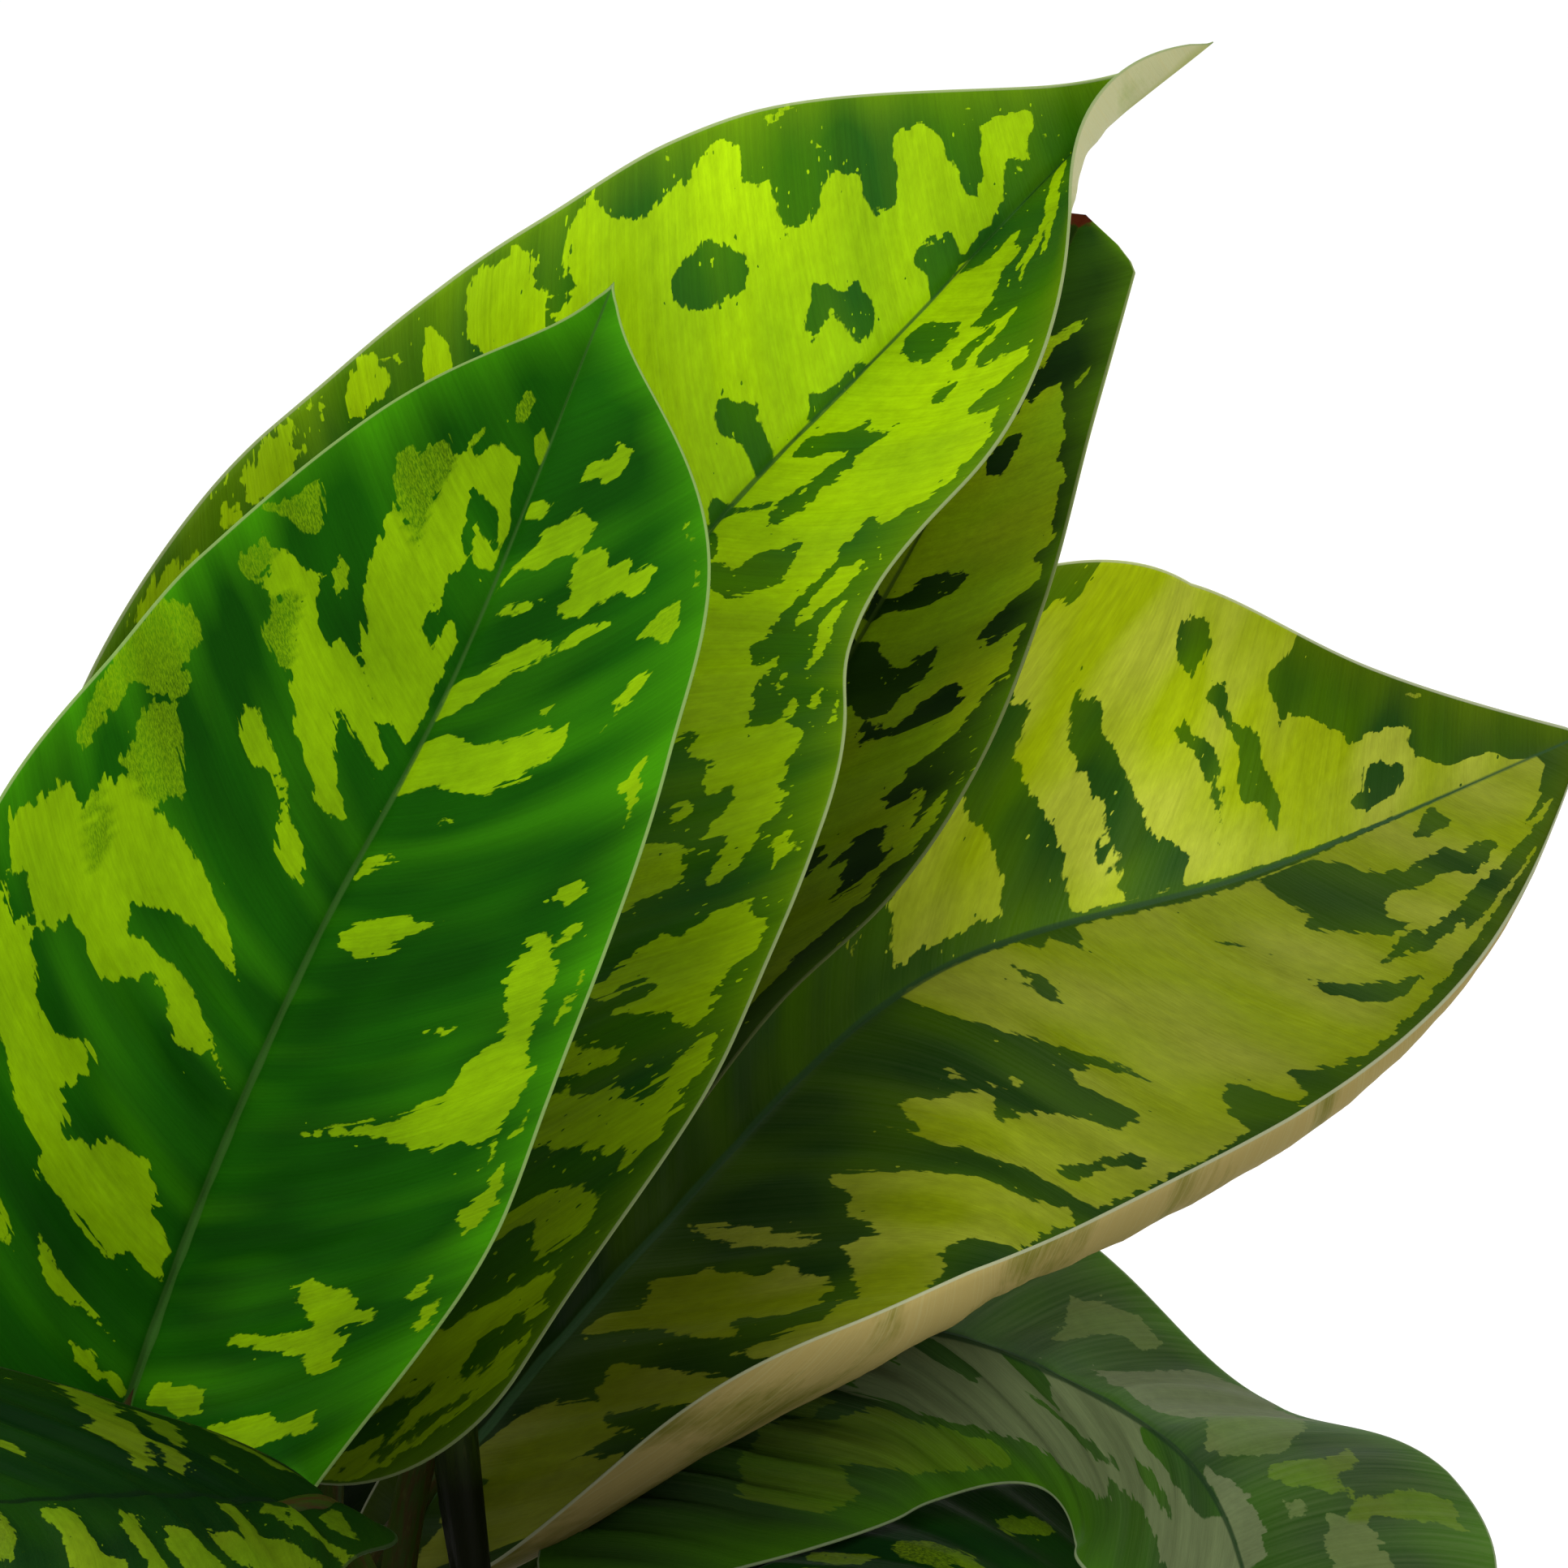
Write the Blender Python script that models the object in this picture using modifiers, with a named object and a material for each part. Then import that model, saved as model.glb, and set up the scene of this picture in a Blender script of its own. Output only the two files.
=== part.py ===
"""A potted homalomena: a plain tapered pot, its soil, a short crown and eighteen leaves on stalks.

Metres, +Z up. The pot stands on z = 0 with its axis on Z, and the front of the plant faces -Y.
"""

import math

import bmesh
import bpy
import numpy as np

MM = 0.001
GAP = 0.3 * MM  # clear space between pieces that touch

POT_HEIGHT = 112 * MM
POT_TOP_RADIUS = 62.5 * MM
POT_FOOT_RADIUS = 45 * MM
POT_WALL = 3 * MM
POT_FLOOR = 4 * MM
RIM_HEIGHT = 16 * MM
RIM_OUT = 3 * MM
RIM_ROUND = 1.5 * MM
FOOT_ROUND = 2 * MM
DRAIN_COUNT = 6
DRAIN_RADIUS = 4 * MM
DRAIN_CIRCLE = 29 * MM

SOIL_EDGE = 98 * MM  # height of the soil at the wall
SOIL_TOP = 101 * MM  # height of the soil round the crown
SOIL_FLAT = 44 * MM  # radius of the level part
CROWN_Y = 12 * MM
CROWN_RADIUS = 24 * MM
CROWN_HEIGHT = 8 * MM
CROWN_ROUND = 2 * MM
TURN_STEPS = 48

BLADE_THICKNESS = 0.6 * MM
BLADE_CELLS_LONG = 11
BLADE_CELLS_WIDE = 8
BLADE_FROM, BLADE_TO = 0.002, 0.985  # the ends stop just short of a point
BASE_ROUND = 0.10  # share of the length over which the base rounds out
LOBE_LONG = 0.30  # share of the length that the two lobes of the base take
LOBE_BACK = 10 * MM

STALK_FOOT_RADIUS = 3.1 * MM
STALK_TOP_RADIUS = 2.1 * MM
STALK_LEAN = 0.25  # share of the way out that a stalk's foot already points
STALK_STOPS_SHORT = 2.4 * MM
STALK_TILT_ROOM = 1.2 * MM  # a leaning stalk's foot keeps clear of the crown
SEAT_SPREAD = 4.6 * MM  # the stalks stand on the crown in a spiral
GOLDEN_ANGLE = math.radians(137.508)

POT_COLOUR = (0.42, 0.40, 0.37)
SOIL_COLOUR = (0.030, 0.020, 0.013)
CROWN_COLOUR = (0.16, 0.12, 0.06)
STALK_COLOUR = (0.13, 0.12, 0.035)
ROLL_COLOUR = (0.22, 0.33, 0.05)
DARK_GREEN = (0.020, 0.085, 0.014)
LIME_GREEN = (0.20, 0.33, 0.020)
YELLOW_GREEN = (0.27, 0.30, 0.025)
OLIVE_GREEN = (0.09, 0.12, 0.014)
GREY_GREEN = (0.045, 0.095, 0.045)

USUAL = (22, 34, 40, 42, 40, 35, 27, 15, 0)  # half widths in mm, from base to tip


def half(widths, lift=(15,), curl=(0,), power=1):
    # lift: degrees that the half stands up from the flat at the midrib
    # curl: degrees that it turns on by its margin; a high power keeps the turn near the margin
    return dict(widths=widths, lift=lift, curl=curl, power=power)


def part_width(share):
    return tuple(share * width for width in USUAL)


# Spines run from base to tip in mm; across is the way to the right half; seat is the stalk's place.
LEAVES = dict(
    front=dict(
        spine=[(-40, 0, 212), (-27, -2, 248), (-13, -2, 280), (5, 4, 314), (24, 16, 360)],
        across=(0.9, 0, -0.4),
        left=half((25, 34, 41, 44, 44, 40, 35, 22, 0), (20, 15, 12, 10, 5)),
        right=half((26, 34, 41, 44, 42, 39, 34, 26, 0), (45, 42, 40, 38, 30)),
        seat=17,
        colour=DARK_GREEN,
    ),
    tall=dict(
        spine=[
            (-27, 14, 215), (-11, 19, 252), (6, 26, 283), (23, 30, 308),
            (37, 33, 327), (59, 33, 350), (82, 29, 375), (98, 22, 389),
        ],
        across=(0.8, 0, -0.6),
        left=half((37, 49, 55, 55, 50, 43, 34, 8, 0), (15, 10, 5, 5, 5, 5)),
        right=half((36, 44, 50, 48, 40, 32, 34, 22, 0), (45, 45, 48, 52, 62, 80, 150)),
        seat=5,
        colour=LIME_GREEN,
    ),
    shaded=dict(
        spine=[(3, 38, 218), (24, 42, 254), (44, 43, 291), (64, 44, 326), (83, 44, 364)],
        across=(0.8, 0, -0.6),
        left=half((24, 30, 34, 34, 33, 28, 21, 13, 3), (0,)),
        right=half((14, 15, 21, 26, 35, 37, 32, 21, 6), (66, 66, 62, 60, 52)),
        seat=1,
        meets=(0.2, -0.1, 1),
        colour=OLIVE_GREEN,
    ),
    right=dict(
        spine=[(-9, 46, 186), (27, 43, 230), (62, 34, 267), (106, 20, 285), (144, 2, 306)],
        across=(0.6, 0, -0.8),
        left=half((7, 11, 20, 32, 43, 47, 38, 18, 0), (-45, -45, -40, -30, -5)),
        right=half(
            (6, 32, 52, 62, 60, 57, 45, 26, 0), (38, 47, 37, 32, 11), (114, 154, 130, 131, 61), 4
        ),
        seat=3,
        meets=(-0.9, -0.2, 1),
        colour=YELLOW_GREEN,
    ),
    low_right=dict(
        spine=[
            (28, 40, 206), (45, 29, 218), (62, 13, 227), (81, -5, 225),
            (96, -22, 218), (102, -39, 204), (100, -54, 187),
        ],
        across=(-0.35, -0.65, -0.65),
        left=half((15, 28, 35, 38, 40, 41, 38, 24, 0), (12, -4, -41, -56, -43, -26, -24)),
        right=half((36, 31, 26, 21, 14, 17, 19, 14, 0), (23, -8, -35, -36, 0, 18, 6)),
        seat=13,
        meets=(-0.7, 0.1, 1.2),
        lobe=22 * MM,
        colour=GREY_GREEN,
    ),
    low_left=dict(
        spine=[(-11, -30, 216), (-30, -56, 225), (-46, -80, 231), (-64, -104, 237), (-81, -122, 232)],
        across=(-0.7, 0.7, 0),
        left=half((12, 18, 28, 34, 36, 32, 24, 13, 0), (-5, -10, -10, -10, -10)),
        right=half((12, 20, 30, 37, 36, 32, 24, 13, 0), (22, 20, 18, 15, 10)),
        seat=4,
        colour=DARK_GREEN,
    ),
    low_front=dict(
        spine=[(14, 2, 182), (40, 10, 196), (66, 17, 205), (92, 16, 205), (114, 8, 196)],
        across=(0.1, -1, 0),
        left=half((8, 16, 26, 30, 29, 24, 17, 9, 0), (0,)),
        right=half(part_width(0.75), (-15,)),
        seat=7,
        colour=DARK_GREEN,
    ),
    left=dict(
        spine=[(-34, 34, 190), (-62, 42, 214), (-94, 46, 228), (-126, 46, 226), (-152, 42, 210)],
        across=(0, 1, 0),
        left=half(USUAL),
        right=half((8, 17, 34, 42, 40, 35, 27, 15, 0)),
        seat=9,
        colour=DARK_GREEN,
    ),
    back_left=dict(
        spine=[(-34, 50, 212), (-52, 66, 240), (-73, 81, 261), (-95, 92, 274), (-115, 102, 274)],
        across=(0.9, 0.3, 0.1),
        left=half(part_width(0.8), (10,)),
        right=half(part_width(0.55), (10,)),
        seat=2,
        colour=LIME_GREEN,
    ),
    back=dict(
        spine=[(-14, 68, 206), (-12, 88, 244), (-8, 106, 278), (-2, 122, 302), (6, 138, 316)],
        across=(1, 0, 0),
        left=half(USUAL),
        right=half(USUAL),
        seat=6,
        meets=(0.15, 0, 1),
        colour=YELLOW_GREEN,
    ),
    back_right=dict(
        spine=[(26, 78, 206), (52, 98, 232), (80, 116, 250), (104, 132, 258), (126, 146, 256)],
        across=(0.55, -0.75, 0),
        left=half(USUAL),
        right=half(USUAL),
        seat=8,
        colour=LIME_GREEN,
    ),
    low_back_left=dict(
        spine=[(-26, 50, 180), (-52, 76, 198), (-80, 100, 204), (-104, 120, 196), (-124, 136, 176)],
        across=(0.7, 0.7, 0),
        left=half(USUAL),
        right=half((8, 18, 32, 40, 40, 35, 27, 15, 0)),
        seat=14,
        colour=DARK_GREEN,
    ),
    low_back=dict(
        spine=[(-12, 64, 170), (-18, 96, 188), (-20, 128, 192), (-20, 156, 180), (-20, 178, 158)],
        across=(1, 0, 0),
        left=half(USUAL),
        right=half(USUAL),
        seat=11,
        colour=OLIVE_GREEN,
    ),
    low_back_right=dict(
        spine=[(20, 60, 168), (50, 80, 180), (80, 98, 174), (106, 116, 156), (126, 130, 130)],
        across=(0.57, -0.8, 0),
        left=half((8, 20, 32, 38, 36, 31, 24, 13, 0)),
        right=half(part_width(0.9)),
        seat=16,
        colour=DARK_GREEN,
    ),
    down_left=dict(
        spine=[(-28, -12, 172), (-62, -20, 180), (-96, -32, 174), (-120, -44, 154), (-138, -56, 128)],
        across=(-0.2, 1, 0),
        left=half(part_width(0.85)),
        right=half((8, 12, 18, 28, 33, 30, 23, 13, 0)),
        seat=12,
        colour=DARK_GREEN,
    ),
    down_front_left=dict(
        spine=[(-12, -24, 178), (-26, -56, 186), (-38, -88, 180), (-48, -116, 162), (-54, -138, 136)],
        across=(-0.9, 0.4, 0),
        left=half(part_width(0.8)),
        right=half(part_width(0.8)),
        seat=15,
        colour=LIME_GREEN,
    ),
    down_front=dict(
        spine=[(10, -24, 170), (24, -56, 178), (38, -86, 170), (48, -112, 150), (54, -130, 124)],
        across=(-1, -0.3, 0),
        left=half(part_width(0.8)),
        right=half(part_width(0.8)),
        seat=10,
        colour=DARK_GREEN,
    ),
    down_right=dict(
        spine=[(28, 0, 172), (60, -2, 182), (92, -6, 176), (118, -12, 156), (136, -18, 130)],
        across=(0, -1, 0),
        left=half(part_width(0.85)),
        right=half(part_width(0.85)),
        seat=18,
        colour=OLIVE_GREEN,
    ),
)
ROLL_SEAT = 0
ROLL_PATH = [(9, 17, 145), (6, 17, 188), (2, 22, 226), (6, 26, 258)]  # above its seat, in mm
ROLL_RADII = (3.0, 2.6, 2.4, 3.2, 0.7)  # mm, from the seat up


def clear_scene():
    for thing in list(bpy.data.objects):
        bpy.data.objects.remove(thing)


def finish(thing, colour, roughness):
    material = bpy.data.materials.new(thing.name)
    material.use_nodes = True
    surface = material.node_tree.nodes["Principled BSDF"]
    surface.inputs["Base Color"].default_value = (*colour, 1)
    surface.inputs["Roughness"].default_value = roughness
    thing.data.materials.append(material)


def add_object(name, data, collection):
    thing = bpy.data.objects.new(name, data)
    collection.objects.link(thing)
    return thing


def turned(name, profile, collection):
    # The profile is (radius, height) points from the axis round to the axis again.
    mesh = bpy.data.meshes.new(name)
    edges = [(i, i + 1) for i in range(len(profile) - 1)]
    mesh.from_pydata([(radius, 0, height) for radius, height in profile], edges, [])
    thing = add_object(name, mesh, collection)
    screw = thing.modifiers.new("Turn", "SCREW")
    screw.axis = "Z"
    screw.steps = screw.render_steps = TURN_STEPS
    screw.use_merge_vertices = True
    screw.merge_threshold = 0.00001
    screw.use_normal_calculate = True
    return thing


def arc(centre, radius, start, end, steps=3):
    angles = [math.radians(start + (end - start) * i / steps) for i in range(steps + 1)]
    return [(centre[0] + radius * math.cos(a), centre[1] + radius * math.sin(a)) for a in angles]


def wall_radius(height):
    # outside of the tapered wall
    return POT_FOOT_RADIUS + (POT_TOP_RADIUS - RIM_OUT - POT_FOOT_RADIUS) * height / POT_HEIGHT


def make_pot(collection):
    rim_from = POT_HEIGHT - RIM_HEIGHT
    inside_top = wall_radius(POT_HEIGHT) - POT_WALL
    inside_floor = wall_radius(POT_FLOOR) - POT_WALL
    profile = [(0, 0)]
    profile += arc((POT_FOOT_RADIUS - FOOT_ROUND, FOOT_ROUND), FOOT_ROUND, -90, 0)
    profile += [(wall_radius(rim_from), rim_from)]
    profile += arc((POT_TOP_RADIUS - RIM_ROUND, rim_from + RIM_ROUND), RIM_ROUND, -90, 0)
    profile += arc((POT_TOP_RADIUS - RIM_ROUND, POT_HEIGHT - RIM_ROUND), RIM_ROUND, 0, 90)
    profile += [(inside_top, POT_HEIGHT), (inside_floor, POT_FLOOR), (0, POT_FLOOR)]
    pot = turned("pot", profile, collection)
    for index in range(DRAIN_COUNT):
        angle = 2 * math.pi * index / DRAIN_COUNT
        place = (DRAIN_CIRCLE * math.cos(angle), DRAIN_CIRCLE * math.sin(angle), POT_FLOOR / 2)
        bpy.ops.mesh.primitive_cylinder_add(
            vertices=16, radius=DRAIN_RADIUS, depth=3 * POT_FLOOR, location=place
        )
        cutter = bpy.context.object
        cutter.name = f"drain_cutter_{index}"
        cutter.hide_render = True
        cutter.hide_set(True)
        drain = pot.modifiers.new(f"Drain {index}", "BOOLEAN")
        drain.operation = "DIFFERENCE"
        drain.solver = "EXACT"
        drain.object = cutter
    finish(pot, POT_COLOUR, 0.45)


def make_soil(collection):
    floor = POT_FLOOR + GAP
    profile = [
        (0, floor),
        (wall_radius(floor) - POT_WALL - GAP, floor),
        (wall_radius(SOIL_EDGE) - POT_WALL - GAP, SOIL_EDGE),
        (SOIL_FLAT, SOIL_TOP),
        (0, SOIL_TOP),
    ]
    finish(turned("soil", profile, collection), SOIL_COLOUR, 0.95)


def make_crown(collection):
    foot = SOIL_TOP + GAP
    top = foot + CROWN_HEIGHT
    profile = [
        (0, foot),
        (CROWN_RADIUS, foot),
        (CROWN_RADIUS, top - CROWN_ROUND),
        (CROWN_RADIUS - CROWN_ROUND, top),
        (0, top),
    ]
    crown = turned("crown", profile, collection)
    crown.location.y = CROWN_Y
    finish(crown, CROWN_COLOUR, 0.8)


def seat_place(seat):
    radius = SEAT_SPREAD * math.sqrt(seat + 0.5)
    angle = seat * GOLDEN_ANGLE
    height = SOIL_TOP + GAP + CROWN_HEIGHT + STALK_TILT_ROOM
    return np.array([radius * math.cos(angle), CROWN_Y + radius * math.sin(angle), height])


def unit(vectors):
    return vectors / np.linalg.norm(vectors, axis=-1, keepdims=True)


def along(stations, t):
    # a smooth curve through equally spaced stations, read at t from 0 (base) to 1 (tip)
    values = np.array(stations, float).reshape(len(stations), -1)
    if len(values) == 1:
        return np.repeat(values, len(t), 0)
    place = np.clip(t * (len(values) - 1), 0, len(values) - 1 - 1e-9)
    index = place.astype(int)
    f = (place - index)[:, None]
    padded = np.vstack([2 * values[0] - values[1], values, 2 * values[-1] - values[-2]])
    a, b, c, d = (padded[index + i] for i in range(4))
    return 0.5 * (2 * b + (c - a) * f + (2 * a - 5 * b + 4 * c - d) * f**2 + (3 * b - a - 3 * c + d) * f**3)


def spine_frame(leaf, t):
    spine = np.array(leaf["spine"]) * MM
    step = 0.001
    forward = unit(along(spine, np.clip(t + step, 0, 1)) - along(spine, np.clip(t - step, 0, 1)))
    across = np.array(leaf["across"], float)
    across = unit(across - (forward @ across)[:, None] * forward)
    return along(spine, t), forward, across, np.cross(across, forward)


def base_shape(t):
    return np.sqrt(1 - (1 - np.clip(t / BASE_ROUND, 0, 1)) ** 2)


def half_section(side, t, q):
    # distance out from the midrib and height over it, for each t and each q (0 midrib, 1 margin)
    widths = np.maximum(along(side["widths"], t), 0) * MM * base_shape(t)[:, None]
    fine = np.linspace(0, 1, 41)
    angle = np.radians(along(side["lift"], t) + along(side["curl"], t) * fine ** side["power"])
    found = []
    for slope in (np.cos(angle), np.sin(angle)):
        steps = (slope[:, 1:] + slope[:, :-1]) / 2 / (len(fine) - 1)
        total = np.concatenate([np.zeros((len(t), 1)), np.cumsum(steps, 1)], 1)
        found.append(widths * np.stack([np.interp(q, fine, row) for row in total]))
    return found


def blade_points(leaf, t, q):
    # points[t, q] on the middle of the blade, with q from -1 (left margin) to 1 (right margin)
    spine, forward, across, upward = (part[:, None] for part in spine_frame(leaf, t))
    points = np.zeros((len(t), len(q), 3))
    for sign, name in ((-1, "left"), (1, "right")):
        mine = q * sign >= 0
        out, over = half_section(leaf[name], t, np.abs(q[mine]))
        points[:, mine] = spine + sign * out[..., None] * across + over[..., None] * upward
    lobe = leaf.get("lobe", LOBE_BACK) * base_shape(t) * np.clip(1 - t / LOBE_LONG, 0, 1) ** 2
    return points - (lobe[:, None] * np.abs(q) ** 1.5)[..., None] * forward


def make_blade(name, leaf, collection):
    mesh = bpy.data.meshes.new(f"blade_{name}")
    grid = bmesh.new()
    bmesh.ops.create_grid(grid, x_segments=BLADE_CELLS_WIDE, y_segments=BLADE_CELLS_LONG, size=1)
    places = np.array([vertex.co[:2] for vertex in grid.verts])
    q, across_index = np.unique(np.round(places[:, 0], 6), return_inverse=True)
    rows, along_index = np.unique(np.round(places[:, 1], 6), return_inverse=True)
    t = BLADE_FROM + (BLADE_TO - BLADE_FROM) * ((rows + 1) / 2) ** 1.15  # closer rows at the base
    points = blade_points(leaf, t, q)
    for vertex, i, j in zip(grid.verts, along_index, across_index):
        vertex.co = points[i, j]
    grid.to_mesh(mesh)
    grid.free()
    blade = add_object(f"blade_{name}", mesh, collection)
    solid = blade.modifiers.new("Thickness", "SOLIDIFY")
    solid.thickness = BLADE_THICKNESS
    solid.offset = 0
    finish(blade, leaf["colour"], 0.38)


def tube(name, bevel, collection):
    curve = bpy.data.curves.new(name, "CURVE")
    curve.dimensions = "3D"
    curve.bevel_depth = bevel
    curve.bevel_resolution = 2
    curve.resolution_u = 7
    curve.use_fill_caps = True
    return curve, add_object(name, curve, collection)


def make_stalk(name, leaf, collection):
    # one Bezier stretch, upright at the crown and turned toward the blade at its top
    foot = seat_place(leaf["seat"])
    base, forward, _, _ = (part[0] for part in spine_frame(leaf, np.zeros(1)))
    meets = unit(forward + np.array(leaf.get("meets", (0, 0, 1)), float))
    reach = np.linalg.norm(base - foot)
    top = base - meets * STALK_STOPS_SHORT
    lean = np.array([*STALK_LEAN * (base - foot)[:2], 0.45 * reach])
    curve, stalk = tube(f"stalk_{name}", STALK_FOOT_RADIUS, collection)
    spline = curve.splines.new("BEZIER")
    spline.bezier_points.add(1)
    for point, place, handle in zip(spline.bezier_points, (foot, top), (lean, 0.35 * reach * meets)):
        point.co = place
        point.handle_left = place - handle
        point.handle_right = place + handle
    spline.bezier_points[1].radius = STALK_TOP_RADIUS / STALK_FOOT_RADIUS
    finish(stalk, STALK_COLOUR, 0.4)


def make_rolled_leaf(collection):
    curve, roll = tube("new_leaf_roll", MM, collection)
    places = [seat_place(ROLL_SEAT)] + [np.array(point) * MM for point in ROLL_PATH]
    spline = curve.splines.new("BEZIER")
    spline.bezier_points.add(len(places) - 1)
    for point, place, radius in zip(spline.bezier_points, places, ROLL_RADII):
        point.co = place
        point.handle_left_type = point.handle_right_type = "AUTO"
        point.radius = radius
    finish(roll, ROLL_COLOUR, 0.4)


def main():
    clear_scene()
    collection = bpy.data.collections.new("potted_homalomena")
    bpy.context.scene.collection.children.link(collection)
    make_pot(collection)
    make_soil(collection)
    make_crown(collection)
    make_rolled_leaf(collection)
    for name, leaf in LEAVES.items():
        make_blade(name, leaf, collection)
        make_stalk(name, leaf, collection)


main()
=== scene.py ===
import bmesh
import bpy
import numpy as np
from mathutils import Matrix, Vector


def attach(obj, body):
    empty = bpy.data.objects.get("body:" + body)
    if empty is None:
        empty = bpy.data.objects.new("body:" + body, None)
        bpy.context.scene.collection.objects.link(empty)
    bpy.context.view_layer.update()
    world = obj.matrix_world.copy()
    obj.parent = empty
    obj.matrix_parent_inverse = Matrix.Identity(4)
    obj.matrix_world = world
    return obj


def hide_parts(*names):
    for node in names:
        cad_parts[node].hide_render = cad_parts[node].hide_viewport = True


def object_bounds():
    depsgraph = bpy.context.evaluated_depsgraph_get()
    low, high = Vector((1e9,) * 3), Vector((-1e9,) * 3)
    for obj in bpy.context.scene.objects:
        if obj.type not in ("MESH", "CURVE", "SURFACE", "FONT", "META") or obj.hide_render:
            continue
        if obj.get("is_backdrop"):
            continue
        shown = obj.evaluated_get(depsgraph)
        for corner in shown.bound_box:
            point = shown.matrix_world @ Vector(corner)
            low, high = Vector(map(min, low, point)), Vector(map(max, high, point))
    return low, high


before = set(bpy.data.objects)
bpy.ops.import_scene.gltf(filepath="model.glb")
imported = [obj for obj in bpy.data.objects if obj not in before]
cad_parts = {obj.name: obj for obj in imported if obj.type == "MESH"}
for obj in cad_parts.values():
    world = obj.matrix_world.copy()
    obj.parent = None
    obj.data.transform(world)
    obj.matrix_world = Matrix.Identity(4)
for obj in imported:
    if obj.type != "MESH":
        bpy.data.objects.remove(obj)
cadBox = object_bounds()
mm = 0.001

view = dict(
    target=(0.045, 0.0, 0.300), distance=1.30, elevation=12.0,
    framed=0.1932,  # width that the frame spans at the target
    sensor=36.0, clip=(0.05, 60),
)


def addCamera():
    camera = bpy.data.objects.new("viewpoint", bpy.data.cameras.new("viewpoint"))
    bpy.context.scene.collection.objects.link(camera)
    tilt = np.radians(view["elevation"])
    away = Vector((0, -np.cos(tilt), np.sin(tilt))) * view["distance"]
    camera.location = Vector(view["target"]) + away
    camera.rotation_euler = (-away).to_track_quat("-Z", "Y").to_euler()
    camera.data.sensor_width = view["sensor"]
    camera.data.lens = view["sensor"] * view["distance"] / view["framed"]
    camera.data.clip_start, camera.data.clip_end = view["clip"]
    bpy.context.scene.camera = camera


addCamera()
print("camera set")


class Wire:
    # a node's output; arithmetic on it adds the nodes
    def __init__(self, shader, socket):
        self.shader, self.socket = shader, socket

    def join(self, operation, first, second):
        ends = [end.socket.type for end in (first, second) if isinstance(end, Wire)]
        kind = "VectorMath" if "VECTOR" in ends or "RGBA" in ends else "Math"
        return self.shader.node(kind, dict(operation=operation), {0: first, 1: second})

    def __add__(self, other):
        return self.join("ADD", self, other)

    def __radd__(self, other):
        return self.join("ADD", other, self)

    def __sub__(self, other):
        return self.join("SUBTRACT", self, other)

    def __rsub__(self, other):
        return self.join("SUBTRACT", other, self)

    def __mul__(self, other):
        return self.join("MULTIPLY", self, other)

    def __rmul__(self, other):
        return self.join("MULTIPLY", other, self)

    def __truediv__(self, other):
        return self.join("DIVIDE", self, other)

    def __abs__(self):
        return self.shader.node("Math", dict(operation="ABSOLUTE"), {0: self})

    def clipped(self):
        return self.shader.node("Math", dict(operation="ADD", use_clamp=True), {0: self, 1: 0.0})

    def above(self, level, gain):
        # 0 up to the level, then up to 1 within 1 / gain
        return ((self - level) * gain).clipped()

    def sharpened(self, gain):
        # more contrast about the middle, 0.5
        return ((self - 0.5) * gain + 0.5).clipped()


class Shader:
    def __init__(self, name, **fixed):
        self.material = bpy.data.materials.new(name)
        self.material.use_nodes = True
        self.tree = self.material.node_tree
        self.surface = self.tree.nodes["Principled BSDF"]
        self.feed(**fixed)

    def put(self, socket, value):
        if isinstance(value, Wire):
            self.tree.links.new(value.socket, socket)
        elif socket.type == "RGBA":
            socket.default_value = (*value, 1)
        elif socket.type == "VECTOR" and np.ndim(value) == 0:
            socket.default_value = (value, value, value)
        else:
            socket.default_value = value

    def feed(self, **ends):
        for socket, value in ends.items():
            self.put(self.surface.inputs[socket.replace("_", " ")], value)

    def node(self, kind, settings=None, sockets=None, out=0):
        made = self.tree.nodes.new("ShaderNode" + kind)
        for setting, value in (settings or {}).items():
            setattr(made, setting, value)
        for socket, value in (sockets or {}).items():
            self.put(made.inputs[socket], value)
        return Wire(self, made.outputs[out])

    def attribute(self, name):
        return self.split(self.node("Attribute", dict(attribute_name=name), out="Vector"))

    def spot(self):
        # the place on the piece, in mm; divided by a grain's size it goes into a noise
        return self.node("TexCoord", out="Object") * (1 / mm)

    def split(self, wire):
        apart = self.node("SeparateXYZ", {}, {0: wire}).socket.node
        return [Wire(self, socket) for socket in apart.outputs]

    def vector(self, x, y, z):
        return self.node("CombineXYZ", {}, {0: x, 1: y, 2: z})

    def noise(self, where, detail=2.0, rough=0.5):
        settings = {"Vector": where, "Scale": 1.0, "Detail": detail, "Roughness": rough}
        return self.node("TexNoise", {}, settings)

    def mix(self, share, first, second):
        return self.node("Mix", dict(data_type="RGBA"), {0: share, 6: first, 7: second}, out=2)

    def scaled(self, colour, scale):
        return self.node("VectorMath", dict(operation="SCALE"), {0: colour, "Scale": scale})

    def bump(self, height, strength, distance):
        relief = self.node("Bump", {}, {"Height": height, "Strength": strength, "Distance": distance})
        self.feed(Normal=relief)


def unit(vectors):
    return vectors / np.linalg.norm(vectors, axis=-1, keepdims=True)


def along(stations, t):
    # a smooth curve through equally spaced stations, read at t from 0 to 1
    values = np.array(stations, float).reshape(len(stations), -1)
    if len(values) == 1:
        return np.repeat(values, len(t), 0)
    place = np.clip(t * (len(values) - 1), 0, len(values) - 1 - 1e-9)
    index = place.astype(int)
    f = (place - index)[:, None]
    padded = np.vstack([2 * values[0] - values[1], values, 2 * values[-1] - values[-2]])
    a, b, c, d = (padded[index + i] for i in range(4))
    return 0.5 * (2 * b + (c - a) * f + (2 * a - 5 * b + 4 * c - d) * f**2 + (3 * b - a - 3 * c + d) * f**3)


latticeSize = 97  # softNoise repeats after this many cells


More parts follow.
